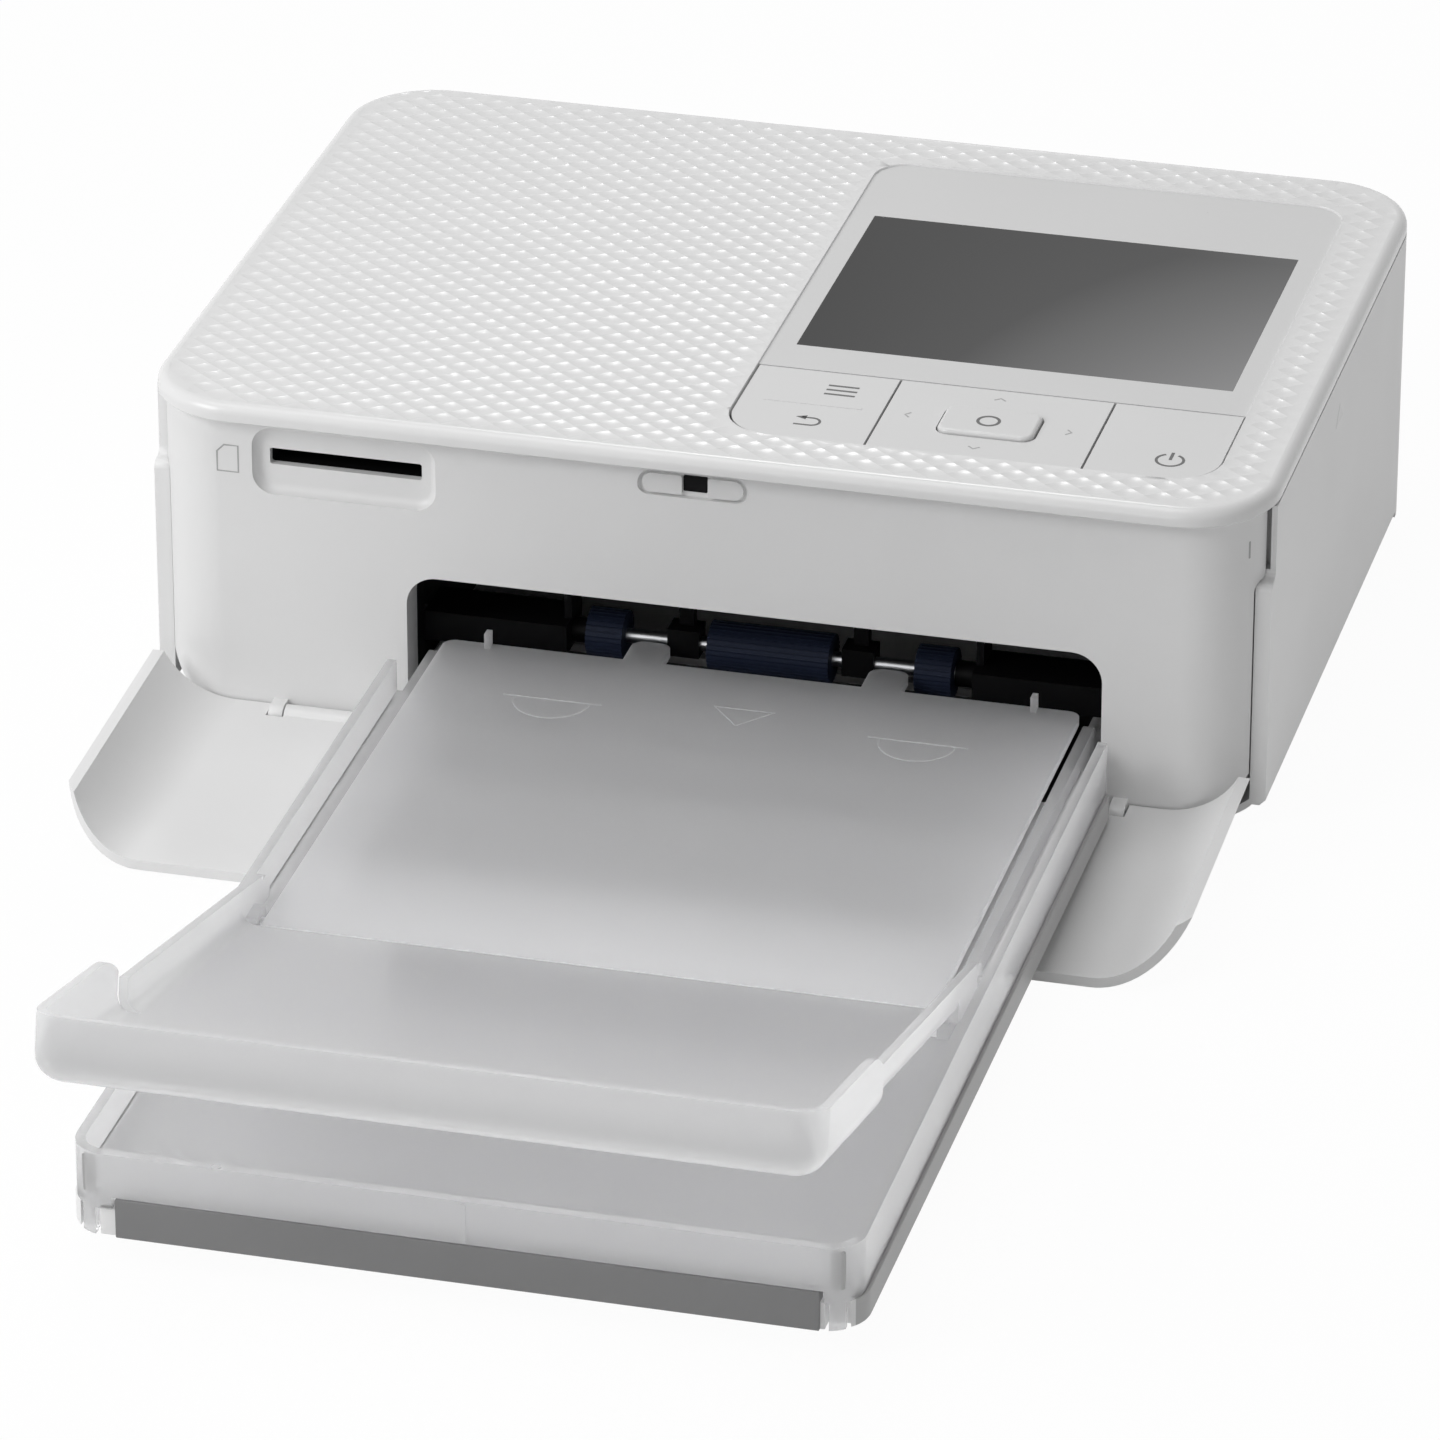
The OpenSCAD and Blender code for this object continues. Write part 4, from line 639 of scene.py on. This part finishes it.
relief("chevrons", chevrons, on_top(KEY_Z), *INK, "faint", "nav_key", "key_plastic")
relief("confirm_icon", [line(ring(42.3, 23.9, 1.7), 0.5, True)], on_top(KEY_Z + 0.7), *INK, "print",
       "confirm_key", "key_plastic")
relief("power_icon", [line(ring(72.6, 18.4, 2.15, 118, 422), 0.45), line([(72.6, 18.5), (72.6, 21.2)], 0.5)],
       on_top(KEY_Z), *INK, "print", "power_button", "key_plastic")

# card icon beside the slot
card = [(-78.4, 44.7), (-74.9, 44.7), (-74.9, 49.3), (-77.2, 49.3), (-78.4, 48.1)]
relief("card_icon", [line(card, 0.28, True)], on_front, -0.02, 0.04, "faint", "casing", "white_plastic")

# recess of the latch: the panel reaches up to the pads, which leave a gap between them; a black plate in the
# gap is painted shade that stands in for the hole's darkness
SILL_Z, RECESS_Z, RECESS_R = 47.2, 50.9, 1.95
low_edge = ([(-9.9, RECESS_Z)] + arc(-7.5, RECESS_Z, RECESS_R, 180, 270, 10)
            + arc(6.7, RECESS_Z, RECESS_R, 270, 360, 10) + [(9.3, RECESS_Z)])
relief("latch_sill", [([(x, SILL_Z) for x, z in low_edge], low_edge, False)], on_front, -0.9, 0.015, "white",
       "casing", "white_plastic")
relief("latch_gap_shade_plate", [rounded(-2.0, 49.9, 1.9, 52.6, 0.2, 4)], on_front, -0.88, -0.7, "black", "casing",
       "black_plastic")
PADS = {"left": (-8.6, -2.15, (1.6, 0.4, 0.4, 1.6)), "right": (2.05, 7.8, (0.4, 1.6, 1.6, 0.4))}
for side, (x0, x1, radii) in PADS.items():
    relief("latch_pad_" + side, [rounded(x0, 49.3, x1, 52.6, radii, 8)], on_front, -0.95, -0.25, "pad",
           "casing", "white_plastic")

# black sleeve, painted shade that darkens the inside of the card slot, then contact bar and rib inside the card
# slot
relief("card_slot_shade_sleeve", [line(rounded(SLOT_X[0], 46.2, SLOT_X[1], 48.8, 0.3, 4), 0.16, True)],
       lambda u, v, h: P(u, 5.9 + h, v), 0.0, 8.0, "black", "casing", "black_plastic")
relief("card_contacts", [rounded(SLOT_X[0] + 0.1, 46.3, SLOT_X[1] - 0.1, 48.7, 0.3, 4)], facing(16.0), 0.0, 0.8,
       "black", "casing", "black_plastic")
relief("card_rib", [rounded(SLOT_X[0] + 0.1, 47.1, SLOT_X[1] - 0.1, 47.3, 0.05, 3)], facing(9.0), 0.0, 0.5,
       "hook", "casing", "black_plastic")

# witness mark at the right
relief("wing_mark", [rounded(-36.3, 47.0, -34.6, 49.9, 0.2, 4)], on_wing, -0.02, 0.02, "faint", "casing",
       "white_plastic")

# marks moulded on the inner lid
lid_marks = []
for cx in (-20.0, 39.2):
    lid_marks.append(line(arc(cx, -9.6, 6.0, 180, 360, 24), 0.35))
    lid_marks.append(line([(cx - 8.0, -9.2), (cx + 8.0, -9.2)], 0.35))
lid_marks.append(line([(5.3, -5.0), (15.1, -5.0), (10.2, -10.7)], 0.3, True))
relief("lid_marks", lid_marks, on_top(LID_Z), -0.05, 0.12, "frost_lid", "lid", "frost_plastic")

# hooks and the middle rib at the front of the cassette
for side, x0, x1 in (("left", -46.6, -44.5), ("right", 64.1, 66.2)):
    relief("hook_" + side, [rounded(x0, 11.2, x1, 17.4, 0.5, 4)], facing(-165.3), -0.2, 0.15, "faint",
           "cassette", "frost_plastic")
relief("front_rib", [rounded(10.0, 11.2, 10.9, 17.6, 0.3, 4)], facing(-166.3), -0.1, 0.25, "frost", "cassette",
       "frost_plastic")

# arrow that shows where the ink door opens
relief("ink_arrow", [[(60.0, 46.0), (66.0, 46.0), (63.0, 49.2)]], on_side, -0.03, 0.03, "key", "ink_door_body",
       "white_plastic")

# ------------------------------------------------------------------ lights, world, floor


def area(name, loc, target, size, energy, size_y=None):
    """Area lamp at loc that points to target, in metres and watts."""
    d = bpy.data.lights.new(name, "AREA")
    d.shape = "RECTANGLE"
    d.size, d.size_y = size, size_y or size
    d.energy = energy
    o = bpy.data.objects.new(name, d)
    scene.collection.objects.link(o)
    o.location = loc
    o.rotation_mode = "QUATERNION"
    o.rotation_quaternion = (Vector(target) - Vector(loc)).to_track_quat("-Z", "Y")


area("key_light", (-0.62, -0.52, 0.55), (0, 0.03, 0.03), 0.45, 3.9)
area("top_light", (-0.25, -0.05, 1.2), (0, 0.02, 0.03), 0.8, 4.5)
area("rear_light", (-0.24, 0.84, 0.92), (0, 0.05, 0.05), 0.24, 1.5, size_y=0.12)
area("front_light", (-0.15, -1.3, 0.22), (0, -0.1, 0.03), 0.5, 0.9)


def seen(t):
    """1 for rays that see the background itself: camera, glossy and transmission rays."""
    path = t.nodes.new("ShaderNodeLightPath").outputs
    seen_or_glossy = math_node(t, "MAXIMUM", path["Is Camera Ray"], path["Is Glossy Ray"])
    return math_node(t, "MAXIMUM", seen_or_glossy, path["Is Transmission Ray"])


PALE = (0.9, 0.9, 0.9, 1)
WORLD_STRENGTH = 0.30
FLOOR_WHITE = 0.96  # the rest of the floor takes the object's shadow

world = bpy.data.worlds.new("world")
scene.world = world
world.use_nodes = True
wt = world.node_tree
dim = wt.nodes["Background"]
dim.inputs["Color"].default_value = PALE
dim.inputs["Strength"].default_value = WORLD_STRENGTH
white = wt.nodes.new("ShaderNodeBackground")
white.inputs["Color"].default_value = (1, 1, 1, 1)
sky = mix_shader(wt, seen(wt), dim.outputs["Background"], white.outputs["Background"])
wt.links.new(sky, wt.nodes["World Output"].inputs["Surface"])

floor_mesh = bpy.data.meshes.new("floor")
FLOOR_HALF, FLOOR_DROP = 6.0, 0.0002
floor_mesh.from_pydata([(x * FLOOR_HALF, y * FLOOR_HALF, 0) for x, y in ((-1, -1), (1, -1), (1, 1), (-1, 1))],
                       [], [(0, 1, 2, 3)])
floor = bpy.data.objects.new("floor", floor_mesh)
scene.collection.objects.link(floor)
floor_mat = bpy.data.materials.new("floor")
floor_mat.use_nodes = True
ft = floor_mat.node_tree
matt = ft.nodes["Principled BSDF"]
matt.inputs["Base Color"].default_value = PALE
matt.inputs["Roughness"].default_value = 0.9
matt.inputs["Specular IOR Level"].default_value = 0.0
glow = ft.nodes.new("ShaderNodeEmission")
glow.inputs["Color"].default_value = (1, 1, 1, 1)
share = math_node(ft, "MULTIPLY", seen(ft), FLOOR_WHITE)
surface = mix_shader(ft, share, matt.outputs["BSDF"], glow.outputs["Emission"])
ft.links.new(surface, ft.nodes["Material Output"].inputs["Surface"])
floor_mesh.materials.append(floor_mat)
floor.location = (0, 0, -FLOOR_DROP)

scene.view_settings.view_transform = "Standard"
